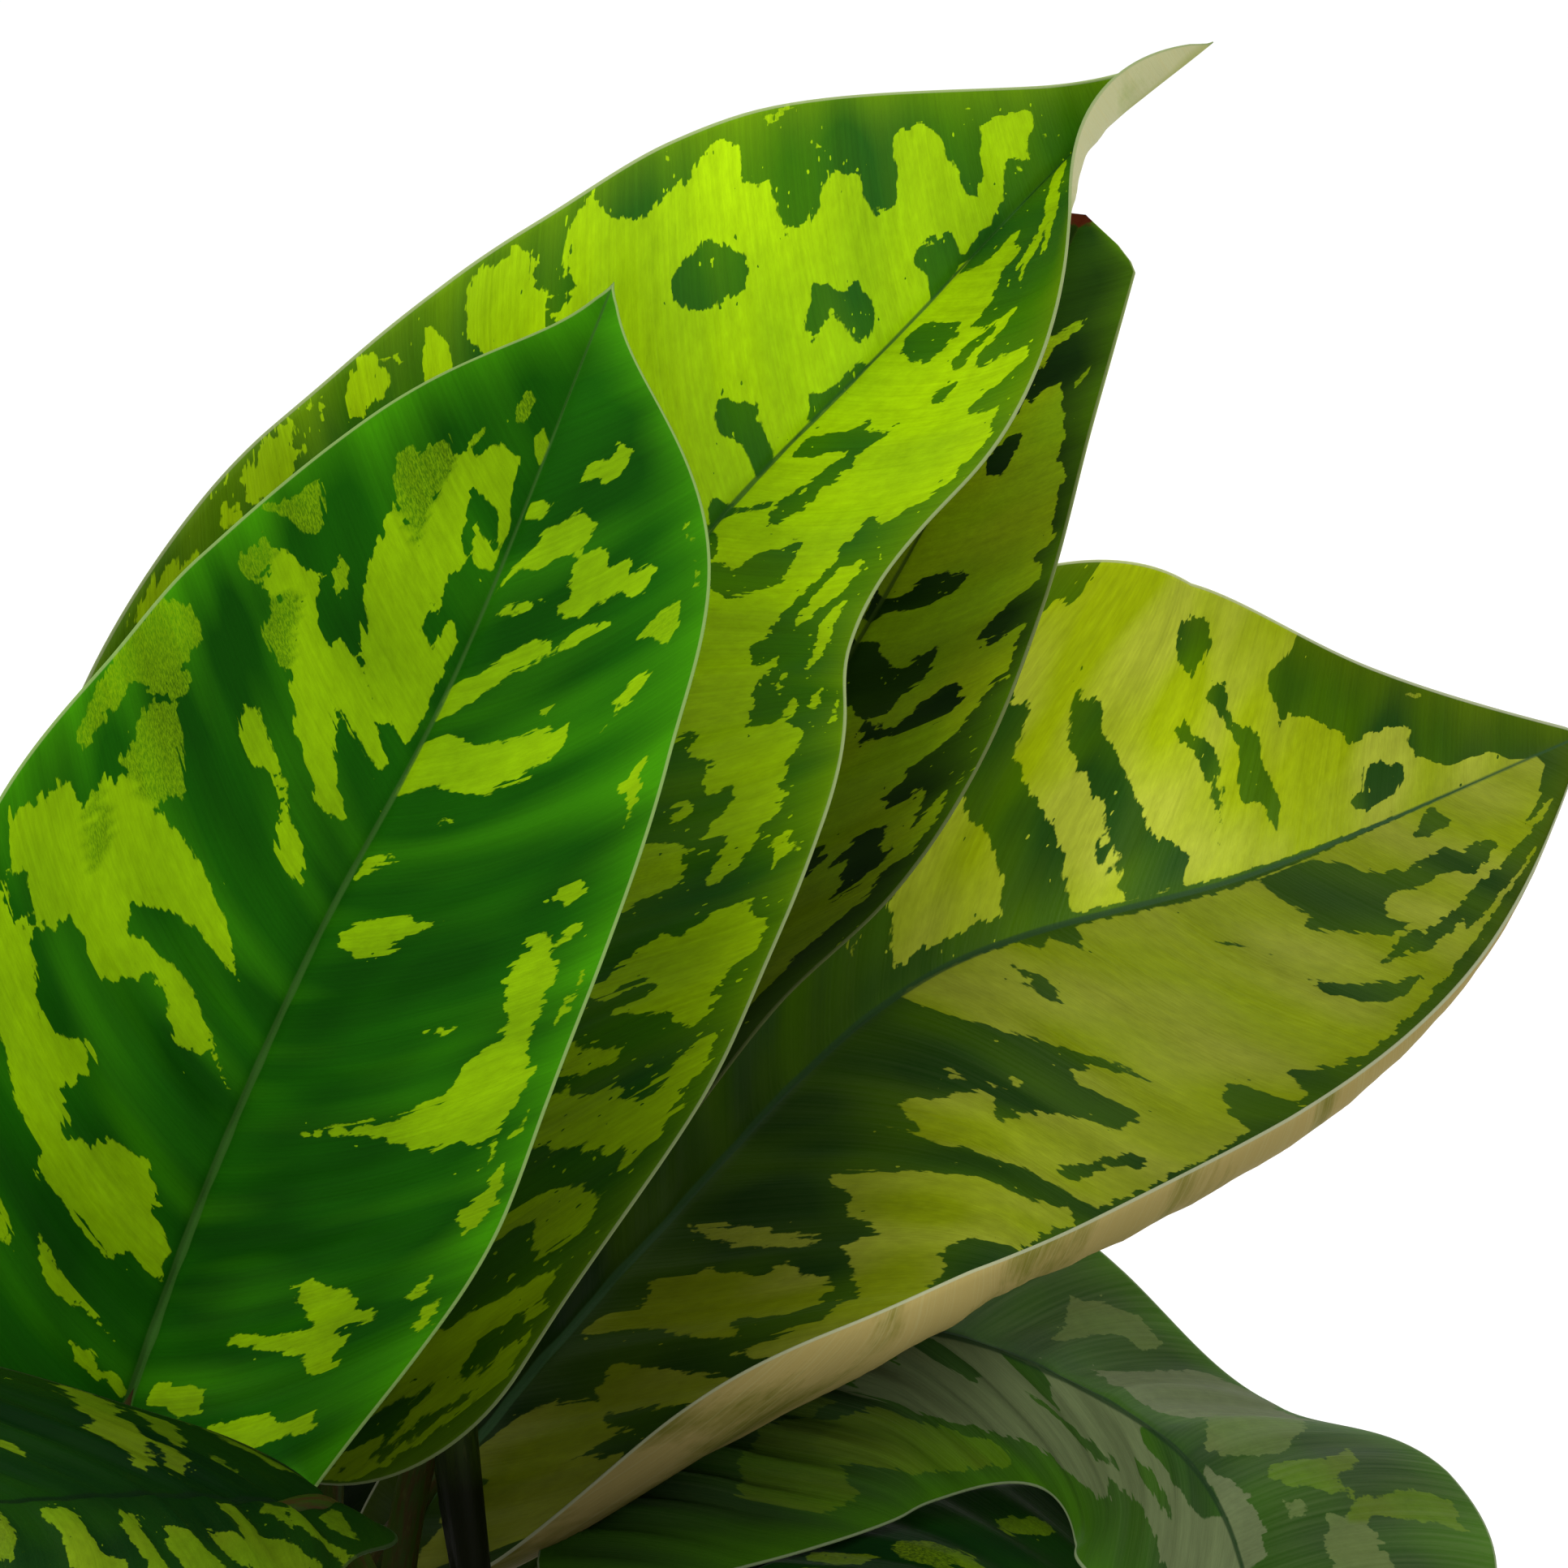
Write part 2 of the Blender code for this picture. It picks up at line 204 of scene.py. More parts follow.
def softNoise(x, y, cell, seed):
    # smooth random heights between -1 and 1: random numbers on a square lattice, blended between its corners
    lattice = np.random.default_rng(seed).uniform(-1, 1, (latticeSize, latticeSize))
    u, v = x / cell, y / cell
    i, j = np.floor(u).astype(int), np.floor(v).astype(int)
    f, g = u - i, v - j
    f, g = f * f * (3 - 2 * f), g * g * (3 - 2 * g)

    def row(j):
        near, far = lattice[i % latticeSize, j % latticeSize], lattice[(i + 1) % latticeSize, j % latticeSize]
        return near * (1 - f) + far * f

    return row(j) * (1 - g) + row(j + 1) * g


def sheetFaces(rows, columns, first=0, turned=False, closed=False):
    # quads of a grid of rows x columns vertices; closed joins the last column to the first
    i, j = np.meshgrid(np.arange(rows - 1), np.arange(columns if closed else columns - 1), indexing="ij")
    k = (j + 1) % columns
    faces = np.stack([i * columns + j, i * columns + k, (i + 1) * columns + k, (i + 1) * columns + j], -1)
    faces = faces.reshape(-1, 4) + first
    return faces[:, ::-1] if turned else faces


weld = dict(gap=2e-6, sliver=1e-6)  # metres: points closer than the gap become one


def addPiece(name, points, faces, shader, nodes, marks=None):
    # points (n, 3) in metres, faces (m, 4), marks {attribute: (n, 3)}; poles and seams are welded
    mesh = bpy.data.meshes.new(name)
    mesh.vertices.add(len(points))
    mesh.vertices.foreach_set("co", np.ascontiguousarray(points, np.float32).ravel())
    mesh.loops.add(faces.size)
    mesh.loops.foreach_set("vertex_index", np.ascontiguousarray(faces, np.int32).ravel())
    mesh.polygons.add(len(faces))
    mesh.polygons.foreach_set("loop_start", np.arange(0, faces.size, 4, dtype=np.int32))
    mesh.update(calc_edges=True)
    for mark, values in (marks or {}).items():
        layer = mesh.attributes.new(mark, "FLOAT_VECTOR", "POINT")
        layer.data.foreach_set("vector", np.ascontiguousarray(values, np.float32).ravel())
    welded = bmesh.new()
    welded.from_mesh(mesh)
    bmesh.ops.remove_doubles(welded, verts=welded.verts, dist=weld["gap"])
    bmesh.ops.dissolve_degenerate(welded, edges=welded.edges, dist=weld["sliver"])
    welded.to_mesh(mesh)
    welded.free()
    mesh.shade_smooth()
    mesh.materials.append(shader.material)
    piece = bpy.data.objects.new(name, mesh)
    bpy.context.scene.collection.objects.link(piece)
    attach(piece, "root")
    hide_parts(*nodes)
    return piece


def pieceName(kind, name):
    # blade, lowRight: bladeLowRight
    return kind + name[0].upper() + name[1:]


def nodeName(kind, name):
    # blade, lowRight: blade_low_right
    return f"{kind}_" + "".join(f"_{letter.lower()}" if letter.isupper() else letter for letter in name)


# The leaf blades. Each has a spine, its midrib from base to tip in mm, and across, the way to its right half.
usual = (22, 34, 40, 42, 40, 35, 27, 15, 0)  # half widths in mm, from base to tip


def half(widths, lift=(15,), curl=(0,), power=1, lean=0.55, light=(0.4, 0.7, 1, 1)):
    # lift: degrees that the half stands up from the flat at the midrib; curl: degrees more by its margin;
    # lean: how far the lateral veins run toward the tip for each mm that they run outward; light: painted
    # light and shade, a factor on all its colours from base to tip, low where the half lies in shade and high
    # where it is lit
    return dict(widths=widths, lift=lift, curl=curl, power=power, lean=lean, light=light)


def partWidth(share):
    return tuple(share * width for width in usual)


blade = dict(
    thickness=0.6 * mm,
    margin=0.35 * mm,  # thickness at the margin
    rimOut=0.12 * mm,  # how far the rounded margin stands out
    baseRound=0.10, tipRound=0.012, pinchLong=0.05,  # shares of the length
    lobeLong=0.30, lobeBack=10 * mm, lobePower=1.5,
    groove=0.45 * mm, grooveWide=0.9 * mm, grooveFade=0.5,
    keel=1.9 * mm, keelWide=1.7 * mm, keelFade=1.1, keelGain=30,
    tipThin=0.3, tipGain=12,  # a gain of 12 spreads a change over a twelfth of the length
    veinBend=0.35,
    quilt=(0.6, 0.085),  # the swelling between veins: its height in mm and its step, a share of the length
    ripple=(0.45, 2.3, 1),  # a second wave in it: its height and pace beside the first one's, and its shift
    cells=(80, 26), rowCrowding=0.35, columnPower=1.35,  # rows crowd at the ends and columns at the midrib
)
# The dark green turns cool in clouds, and paler toward the margin and in soft bands along the veins, partly
# its own fresh green and partly painted light and shade on the quilted swells; the lime turns warm in clouds.
# rib: the midrib; shine: how glossy; specks: how many stray specks; glow: how uneven the dark green is, at
# random and in those bands of painted light and shade; margin: the thin line round the blade; below: the
# underside's two colours.
looks = dict(
    deep=dict(
        dark=(0.007, 0.074, 0.001), cool=(0.004, 0.046, 0.001), fresh=(0.034, 0.185, 0.001),
        lime=(0.185, 0.340, 0.001), warm=(0.140, 0.265, 0.001), rib=(0.032, 0.096, 0.014),
        shine=0.015, specks=0.22, glow=1.9,
        margin=(0.22, 0.32, 0.10), below=((0.44, 0.44, 0.20), (0.22, 0.26, 0.06)),
    ),
    lime=dict(
        dark=(0.040, 0.155, 0.001), cool=(0.018, 0.100, 0.006), fresh=(0.120, 0.250, 0.001),
        lime=(0.360, 0.590, 0.001), warm=(0.300, 0.510, 0.002), rib=(0.030, 0.110, 0.015),
        shine=0.05, specks=0.28, glow=1.2,
        margin=(0.32, 0.39, 0.17), below=((0.50, 0.50, 0.26), (0.38, 0.42, 0.16)),
    ),
    # olive lime and a very dark green for leaves in shadow: the darkness is painted shade
    olive=dict(
        dark=(0.007, 0.022, 0.001), cool=(0.003, 0.012, 0.001), fresh=(0.030, 0.070, 0.001),
        lime=(0.115, 0.195, 0.001), warm=(0.135, 0.195, 0.001), rib=(0.030, 0.060, 0.006),
        shine=0.02, specks=0.25, glow=1.0,
        margin=(0.09, 0.11, 0.04), below=((0.40, 0.38, 0.14), (0.20, 0.22, 0.05)),
    ),
    yellow=dict(
        dark=(0.060, 0.150, 0.001), cool=(0.018, 0.070, 0.006), fresh=(0.100, 0.170, 0.001),
        lime=(0.350, 0.450, 0.003), warm=(0.440, 0.500, 0.040), rib=(0.030, 0.075, 0.025),
        shine=0.04, specks=0.25, glow=1.0,
        margin=(0.50, 0.54, 0.34), below=((0.46, 0.36, 0.12), (0.23, 0.21, 0.035)),
    ),
    # dark greens whose grey is painted sheen, mixed in by sheen and by tones above 1
    grey=dict(
        dark=(0.020, 0.065, 0.003), cool=(0.014, 0.040, 0.008), fresh=(0.035, 0.110, 0.003),
        lime=(0.062, 0.135, 0.003), warm=(0.068, 0.110, 0.006), rib=(0.012, 0.030, 0.010),
        shine=0.005, specks=0.20, glow=1.0,
        margin=(0.20, 0.25, 0.13), below=((0.30, 0.32, 0.14), (0.16, 0.20, 0.06)),
    ),
    # the deep look darkened as painted shade, for the low leaves that lie under the others
    night=dict(
        dark=(0.007, 0.040, 0.003), cool=(0.004, 0.025, 0.004), fresh=(0.010, 0.045, 0.002),
        lime=(0.122, 0.223, 0.004), warm=(0.135, 0.216, 0.005), rib=(0.004, 0.014, 0.004),
        shine=0.02, specks=0.22, glow=1.0,
        margin=(0.035, 0.060, 0.020), below=((0.26, 0.30, 0.12), (0.12, 0.16, 0.04)),
    ),
)
leafFinish = dict(
    # the first colour is painted sheen: a pale silver reflection painted into the leaves' colour
    paintedSilverSheen=(0.092, 0.118, 0.050), scar=(0.075, 0.014, 0.004),
    belowStreak=(0.52, 0.47, 0.20), belowRib=(0.40, 0.42, 0.16),
    roughness=0.40, bump=0.35, bumpHigh=0.25 * mm, seedStep=13.7,
    stripWide=0.9, toothLong=5, toothSize=(1.7, 9), jagLong=2.4,  # mm
    calm=6,  # mm from the midrib, with short teeth
    speckLong=3, pitLong=2, speckGain=60,
    rimWide=12, lineWide=0.32, ribFoot=0.7, ribTip=0.14, belowRibWide=1.6, scarLong=2, scarJag=5,  # mm
)
leafNoises = dict(  # mm along the midrib and outward, seed shift, detail and roughness
    jag=(1.5, 2.4, 7, 3, 0.6),
    grain=(0.22, 0.9, 3, 1, 0.5),
    dust=(0.22, 0.5, 15, 3, 0.7),
    cloud=(14, 18, 11, 1, 0.5),
    streak=(0.45, 26, 5, 1, 0.5),
    speck=(0.9, 1.3, 9, 1, 0.5),
    glow=(9, 40, 13, 1, 0.5),
)
# Each mark is a patch: its tone, then its corners. The tone is 1 for full lime, above 1 toward a painted
# silver sheen, about 0.5 for a stippled half tone, and 0 for a dark patch laid over the lime ones. A corner
# is a share of the half width, negative on the left half, and the vein that it lies on: where that lateral
# vein leaves the midrib, as a share of the length.
frontMarks = [
    [1, (-0.46, 0.845), (-0.36, 0.845), (-0.34, 0.861), (-0.15, 0.873), (-0.09, 0.85), (-0.03, 0.842),
     (-0.04, 0.822), (-0.13, 0.84), (-0.28, 0.83), (-0.24, 0.815), (-0.23, 0.8), (-0.14, 0.798),
     (-0.19, 0.785), (-0.16, 0.758), (-0.21, 0.757), (-0.2, 0.738), (-0.11, 0.74), (-0.13, 0.755),
     (-0.09, 0.766), (-0.05, 0.762), (-0.04, 0.675), (-0.12, 0.675), (-0.17, 0.66), (-0.3, 0.68),
     (-0.44, 0.705), (-0.5, 0.735), (-0.56, 0.766), (-0.37, 0.768), (-0.42, 0.8)],
    [1, (-0.19, 0.82), (-0.03, 0.82), (-0.04, 0.81), (-0.13, 0.8), (-0.18, 0.81)],
    [0.5, (-0.62, 0.828), (-0.45, 0.828), (-0.42, 0.8), (-0.37, 0.768), (-0.56, 0.766), (-0.65, 0.772),
     (-0.72, 0.785), (-0.7, 0.8), (-0.62, 0.8)],
    [1, (-0.07, 0.652), (-0.09, 0.642), (-0.35, 0.636), (-0.24, 0.618), (-0.12, 0.592), (-0.15, 0.58),
     (-0.22, 0.575), (-0.33, 0.592), (-0.38, 0.588), (-0.5, 0.61), (-0.62, 0.652), (-0.66, 0.645),
     (-0.72, 0.62), (-0.76, 0.62), (-0.81, 0.652), (-0.61, 0.677), (-0.52, 0.655), (-0.43, 0.658),
     (-0.42, 0.67), (-0.3, 0.676), (-0.17, 0.662)],
    [0.5, (-0.66, 0.645), (-0.62, 0.652), (-0.5, 0.61), (-0.54, 0.602), (-0.66, 0.6), (-0.7, 0.625)],
    [0.45, (-0.9, 0.64), (-0.8, 0.64), (-0.78, 0.61), (-0.87, 0.605), (-0.88, 0.62)],
    [0.45, (-0.91, 0.71), (-0.72, 0.703), (-0.72, 0.688), (-0.85, 0.67), (-0.97, 0.65), (-0.95, 0.67),
     (-0.92, 0.69)],
    [0.8, (-0.6, 0.7), (-0.54, 0.707), (-0.5, 0.69), (-0.53, 0.682), (-0.59, 0.688)],
    [0.5, (-0.36, 0.905), (-0.25, 0.905), (-0.22, 0.89), (-0.3, 0.88), (-0.36, 0.895)],
    [0.8, (-0.12, 0.89), (-0.09, 0.9), (0, 0.897), (-0.01, 0.882), (-0.08, 0.885)],
    [0.6, (-0.45, 0.86), (-0.42, 0.862), (-0.41, 0.845), (-0.46, 0.845)],
    [1, (-0.58, 0.552), (-0.52, 0.562), (-0.42, 0.563), (-0.33, 0.56), (-0.25, 0.545), (-0.19, 0.55),
     (-0.13, 0.53), (-0.14, 0.52), (-0.22, 0.517), (-0.3, 0.545), (-0.38, 0.548), (-0.44, 0.536),
     (-0.55, 0.542)],
    [0.58, (-1, 0.5), (-0.92, 0.53), (-0.82, 0.54), (-0.8, 0.51), (-0.83, 0.47), (-0.82, 0.455),
     (-0.88, 0.45), (-0.9, 0.43), (-0.87, 0.4), (-0.95, 0.4), (-1, 0.42)],
    [0.5, (-0.97, 0.4), (-0.86, 0.4), (-0.82, 0.385), (-0.88, 0.37), (-0.93, 0.355)],
    [0.5, (-0.82, 0.5), (-0.76, 0.505), (-0.74, 0.48), (-0.82, 0.47)],
    [0.55, (-0.83, 0.46), (-0.7, 0.478), (-0.54, 0.462), (-0.6, 0.44), (-0.62, 0.42), (-0.74, 0.41),
     (-0.78, 0.4), (-0.77, 0.42), (-0.8, 0.445)],
    [1, (-0.13, 0.423), (-0.28, 0.445), (-0.36, 0.451), (-0.48, 0.444), (-0.6, 0.425), (-0.74, 0.405),
     (-0.77, 0.392), (-0.75, 0.375), (-0.79, 0.36), (-0.76, 0.352), (-0.86, 0.345), (-0.9, 0.32),
     (-0.89, 0.305), (-0.96, 0.285), (-0.9, 0.26), (-0.87, 0.252), (-0.84, 0.278), (-0.78, 0.262),
     (-0.72, 0.272), (-0.68, 0.3), (-0.61, 0.31), (-0.52, 0.3), (-0.45, 0.33), (-0.4, 0.345), (-0.5, 0.352),
     (-0.53, 0.368), (-0.44, 0.395), (-0.38, 0.41), (-0.22, 0.42)],
    [1, (-0.5, 0.35), (-0.44, 0.345), (-0.38, 0.355), (-0.31, 0.352), (-0.3, 0.34), (-0.25, 0.334),
     (-0.17, 0.345), (-0.17, 0.355), (-0.02, 0.34), (-0.17, 0.365), (-0.26, 0.38), (-0.31, 0.38),
     (-0.46, 0.362)],
    [1, (-0.2, 0.235), (-0.1, 0.217), (-0.17, 0.207), (-0.03, 0.193), (-0.07, 0.18), (-0.02, 0.165),
     (-0.18, 0.165), (-0.24, 0.146), (-0.38, 0.147), (-0.53, 0.138), (-0.55, 0.15), (-0.7, 0.165),
     (-0.85, 0.2), (-0.95, 0.24), (-0.79, 0.242), (-0.78, 0.265), (-0.66, 0.228), (-0.58, 0.232),
     (-0.49, 0.257), (-0.45, 0.245), (-0.5, 0.22), (-0.51, 0.198), (-0.46, 0.185), (-0.38, 0.2),
     (-0.34, 0.22)],
    [1, (-0.52, 0.105), (-0.47, 0.11), (-0.4, 0.108), (-0.12, 0.097), (-0.28, 0.098), (-0.4, 0.087),
     (-0.46, 0.088), (-0.46, 0.098)],
    [0.9, (-0.31, 0.07), (-0.22, 0.078), (-0.15, 0.072), (-0.08, 0.078), (-0.03, 0.07), (-0.04, 0.062),
     (-0.13, 0.066), (-0.17, 0.062), (-0.26, 0.063)],
    [0.9, (-0.9, 0.1), (-0.6, 0.09), (-0.56, 0.08), (-0.85, 0.06)],
    [1, (0.23, 0.862), (0.28, 0.872), (0.4, 0.866), (0.47, 0.875), (0.61, 0.865), (0.48, 0.85),
     (0.4, 0.848), (0.33, 0.858)],
    [1, (0.02, 0.86), (0.08, 0.857), (0.15, 0.852), (0.1, 0.845), (0.02, 0.848)],
    [1, (0.02, 0.8), (0.05, 0.815), (0.12, 0.825), (0.15, 0.833), (0.24, 0.833), (0.31, 0.835),
     (0.36, 0.825), (0.4, 0.82), (0.34, 0.805), (0.25, 0.81), (0.17, 0.806), (0.08, 0.812)],
    [1, (0.31, 0.805), (0.43, 0.802), (0.47, 0.79), (0.49, 0.78), (0.59, 0.78), (0.61, 0.765), (0.7, 0.763),
     (0.73, 0.757), (0.7, 0.743), (0.64, 0.745), (0.57, 0.757), (0.42, 0.755), (0.33, 0.763), (0.33, 0.77),
     (0.39, 0.772), (0.31, 0.783), (0.33, 0.79)],
    [1, (0.04, 0.785), (0.1, 0.787), (0.25, 0.78), (0.15, 0.778), (0.08, 0.78)],
    [1, (0, 0.735), (0.08, 0.738), (0.2, 0.745), (0.27, 0.75), (0.36, 0.74), (0.45, 0.745), (0.57, 0.735),
     (0.46, 0.731), (0.36, 0.735), (0.22, 0.73), (0.08, 0.712), (0, 0.705)],
    [1, (0, 0.688), (0.09, 0.692), (0.2, 0.678), (0.3, 0.672), (0.45, 0.668), (0.54, 0.665), (0.55, 0.65),
     (0.45, 0.635), (0.33, 0.63), (0.22, 0.637), (0.14, 0.645), (0, 0.64)],
    [0.9, (0.43, 0.684), (0.46, 0.689), (0.48, 0.684), (0.45, 0.681)],
    [0.8, (0.71, 0.708), (0.77, 0.722), (0.86, 0.718), (0.88, 0.705), (0.86, 0.685), (0.82, 0.69),
     (0.78, 0.7)],
    [1, (0.69, 0.662), (0.76, 0.67), (0.83, 0.672), (0.8, 0.66), (0.68, 0.642), (0.74, 0.655)],
    [0.9, (0.2, 0.615), (0.27, 0.61), (0.28, 0.608), (0.2, 0.61)],
    [1, (0.01, 0.565), (0.03, 0.583), (0.09, 0.586), (0.15, 0.582), (0.06, 0.575), (0.03, 0.562)],
    [1, (0.85, 0.575), (0.87, 0.595), (0.91, 0.597), (0.91, 0.55), (0.9, 0.535), (0.88, 0.565)],
    [1, (0.07, 0.51), (0.11, 0.52), (0.2, 0.524), (0.27, 0.522), (0.32, 0.512), (0.41, 0.51), (0.32, 0.498),
     (0.22, 0.484), (0.14, 0.488), (0.09, 0.5)],
    [1, (0.76, 0.51), (0.8, 0.508), (0.84, 0.5), (0.84, 0.49), (0.8, 0.487), (0.76, 0.495)],
    [0.7, (0.88, 0.775), (0.9, 0.775), (0.91, 0.76), (0.88, 0.765)],
    [0.7, (0.92, 0.745), (0.94, 0.74), (0.95, 0.72), (0.93, 0.72)],
    [1, (0.72, 0.466), (0.78, 0.462), (0.81, 0.45), (0.84, 0.463), (0.88, 0.465), (0.87, 0.45),
     (0.82, 0.44), (0.87, 0.415), (0.86, 0.39), (0.86, 0.345), (0.9, 0.32), (0.9, 0.29), (0.88, 0.265),
     (0.84, 0.248), (0.8, 0.25), (0.77, 0.265), (0.7, 0.262), (0.6, 0.275), (0.5, 0.293), (0.38, 0.306),
     (0.24, 0.307), (0.24, 0.311), (0.55, 0.315), (0.68, 0.32), (0.68, 0.33), (0.69, 0.348), (0.76, 0.36),
     (0.77, 0.38), (0.73, 0.4), (0.71, 0.42), (0.68, 0.432), (0.71, 0.445)],
    [1, (0.49, 0.395), (0.54, 0.397), (0.6, 0.39), (0.57, 0.388), (0.5, 0.392)],
    [1, (0.92, 0.375), (0.94, 0.41), (0.95, 0.4), (0.95, 0.36), (0.93, 0.35)],
    [1, (0.86, 0.235), (0.89, 0.25), (0.88, 0.225), (0.86, 0.22)],
    [1, (0.92, 0.25), (0.95, 0.267), (0.95, 0.245), (0.92, 0.24)],
    [1, (0.87, 0.185), (0.9, 0.19), (0.93, 0.22), (0.95, 0.2), (0.96, 0.17), (0.92, 0.145), (0.9, 0.16),
     (0.87, 0.17)],
    [1, (0.47, 0.145), (0.51, 0.152), (0.58, 0.142), (0.65, 0.13), (0.69, 0.12), (0.72, 0.108),
     (0.8, 0.092), (0.82, 0.082), (0.73, 0.09), (0.74, 0.075), (0.76, 0.057), (0.7, 0.06), (0.64, 0.08),
     (0.57, 0.09), (0.46, 0.1), (0.38, 0.105), (0.31, 0.117), (0.4, 0.113), (0.5, 0.107), (0.6, 0.108),
     (0.55, 0.12)],
    [1, (0.85, 0.11), (0.87, 0.12), (0.89, 0.1), (0.88, 0.087), (0.86, 0.095)],
    [1, (0.92, 0.08), (0.95, 0.085), (0.97, 0.06), (0.95, 0.05), (0.93, 0.065)],
    [1, (0.1, 0.062), (0.12, 0.08), (0.16, 0.082), (0.2, 0.078), (0.28, 0.08), (0.36, 0.07), (0.35, 0.055),
     (0.27, 0.05), (0.2, 0.06)],
    [1, (0.4, 0.04), (0.5, 0.04), (0.64, 0.038), (0.72, 0.022), (0.82, 0.018), (0.85, 0.005), (0.77, 0.01),
     (0.65, 0.01), (0.5, 0.022)],
    [0, (-0.89, 0.44), (-0.86, 0.45), (-0.8, 0.42), (-0.76, 0.385), (-0.79, 0.355), (-0.85, 0.345),
     (-0.88, 0.38)],
    [0.6, (-0.78, 0.37), (-0.7, 0.4), (-0.6, 0.385), (-0.56, 0.35), (-0.62, 0.32), (-0.7, 0.31),
     (-0.76, 0.335)],
]
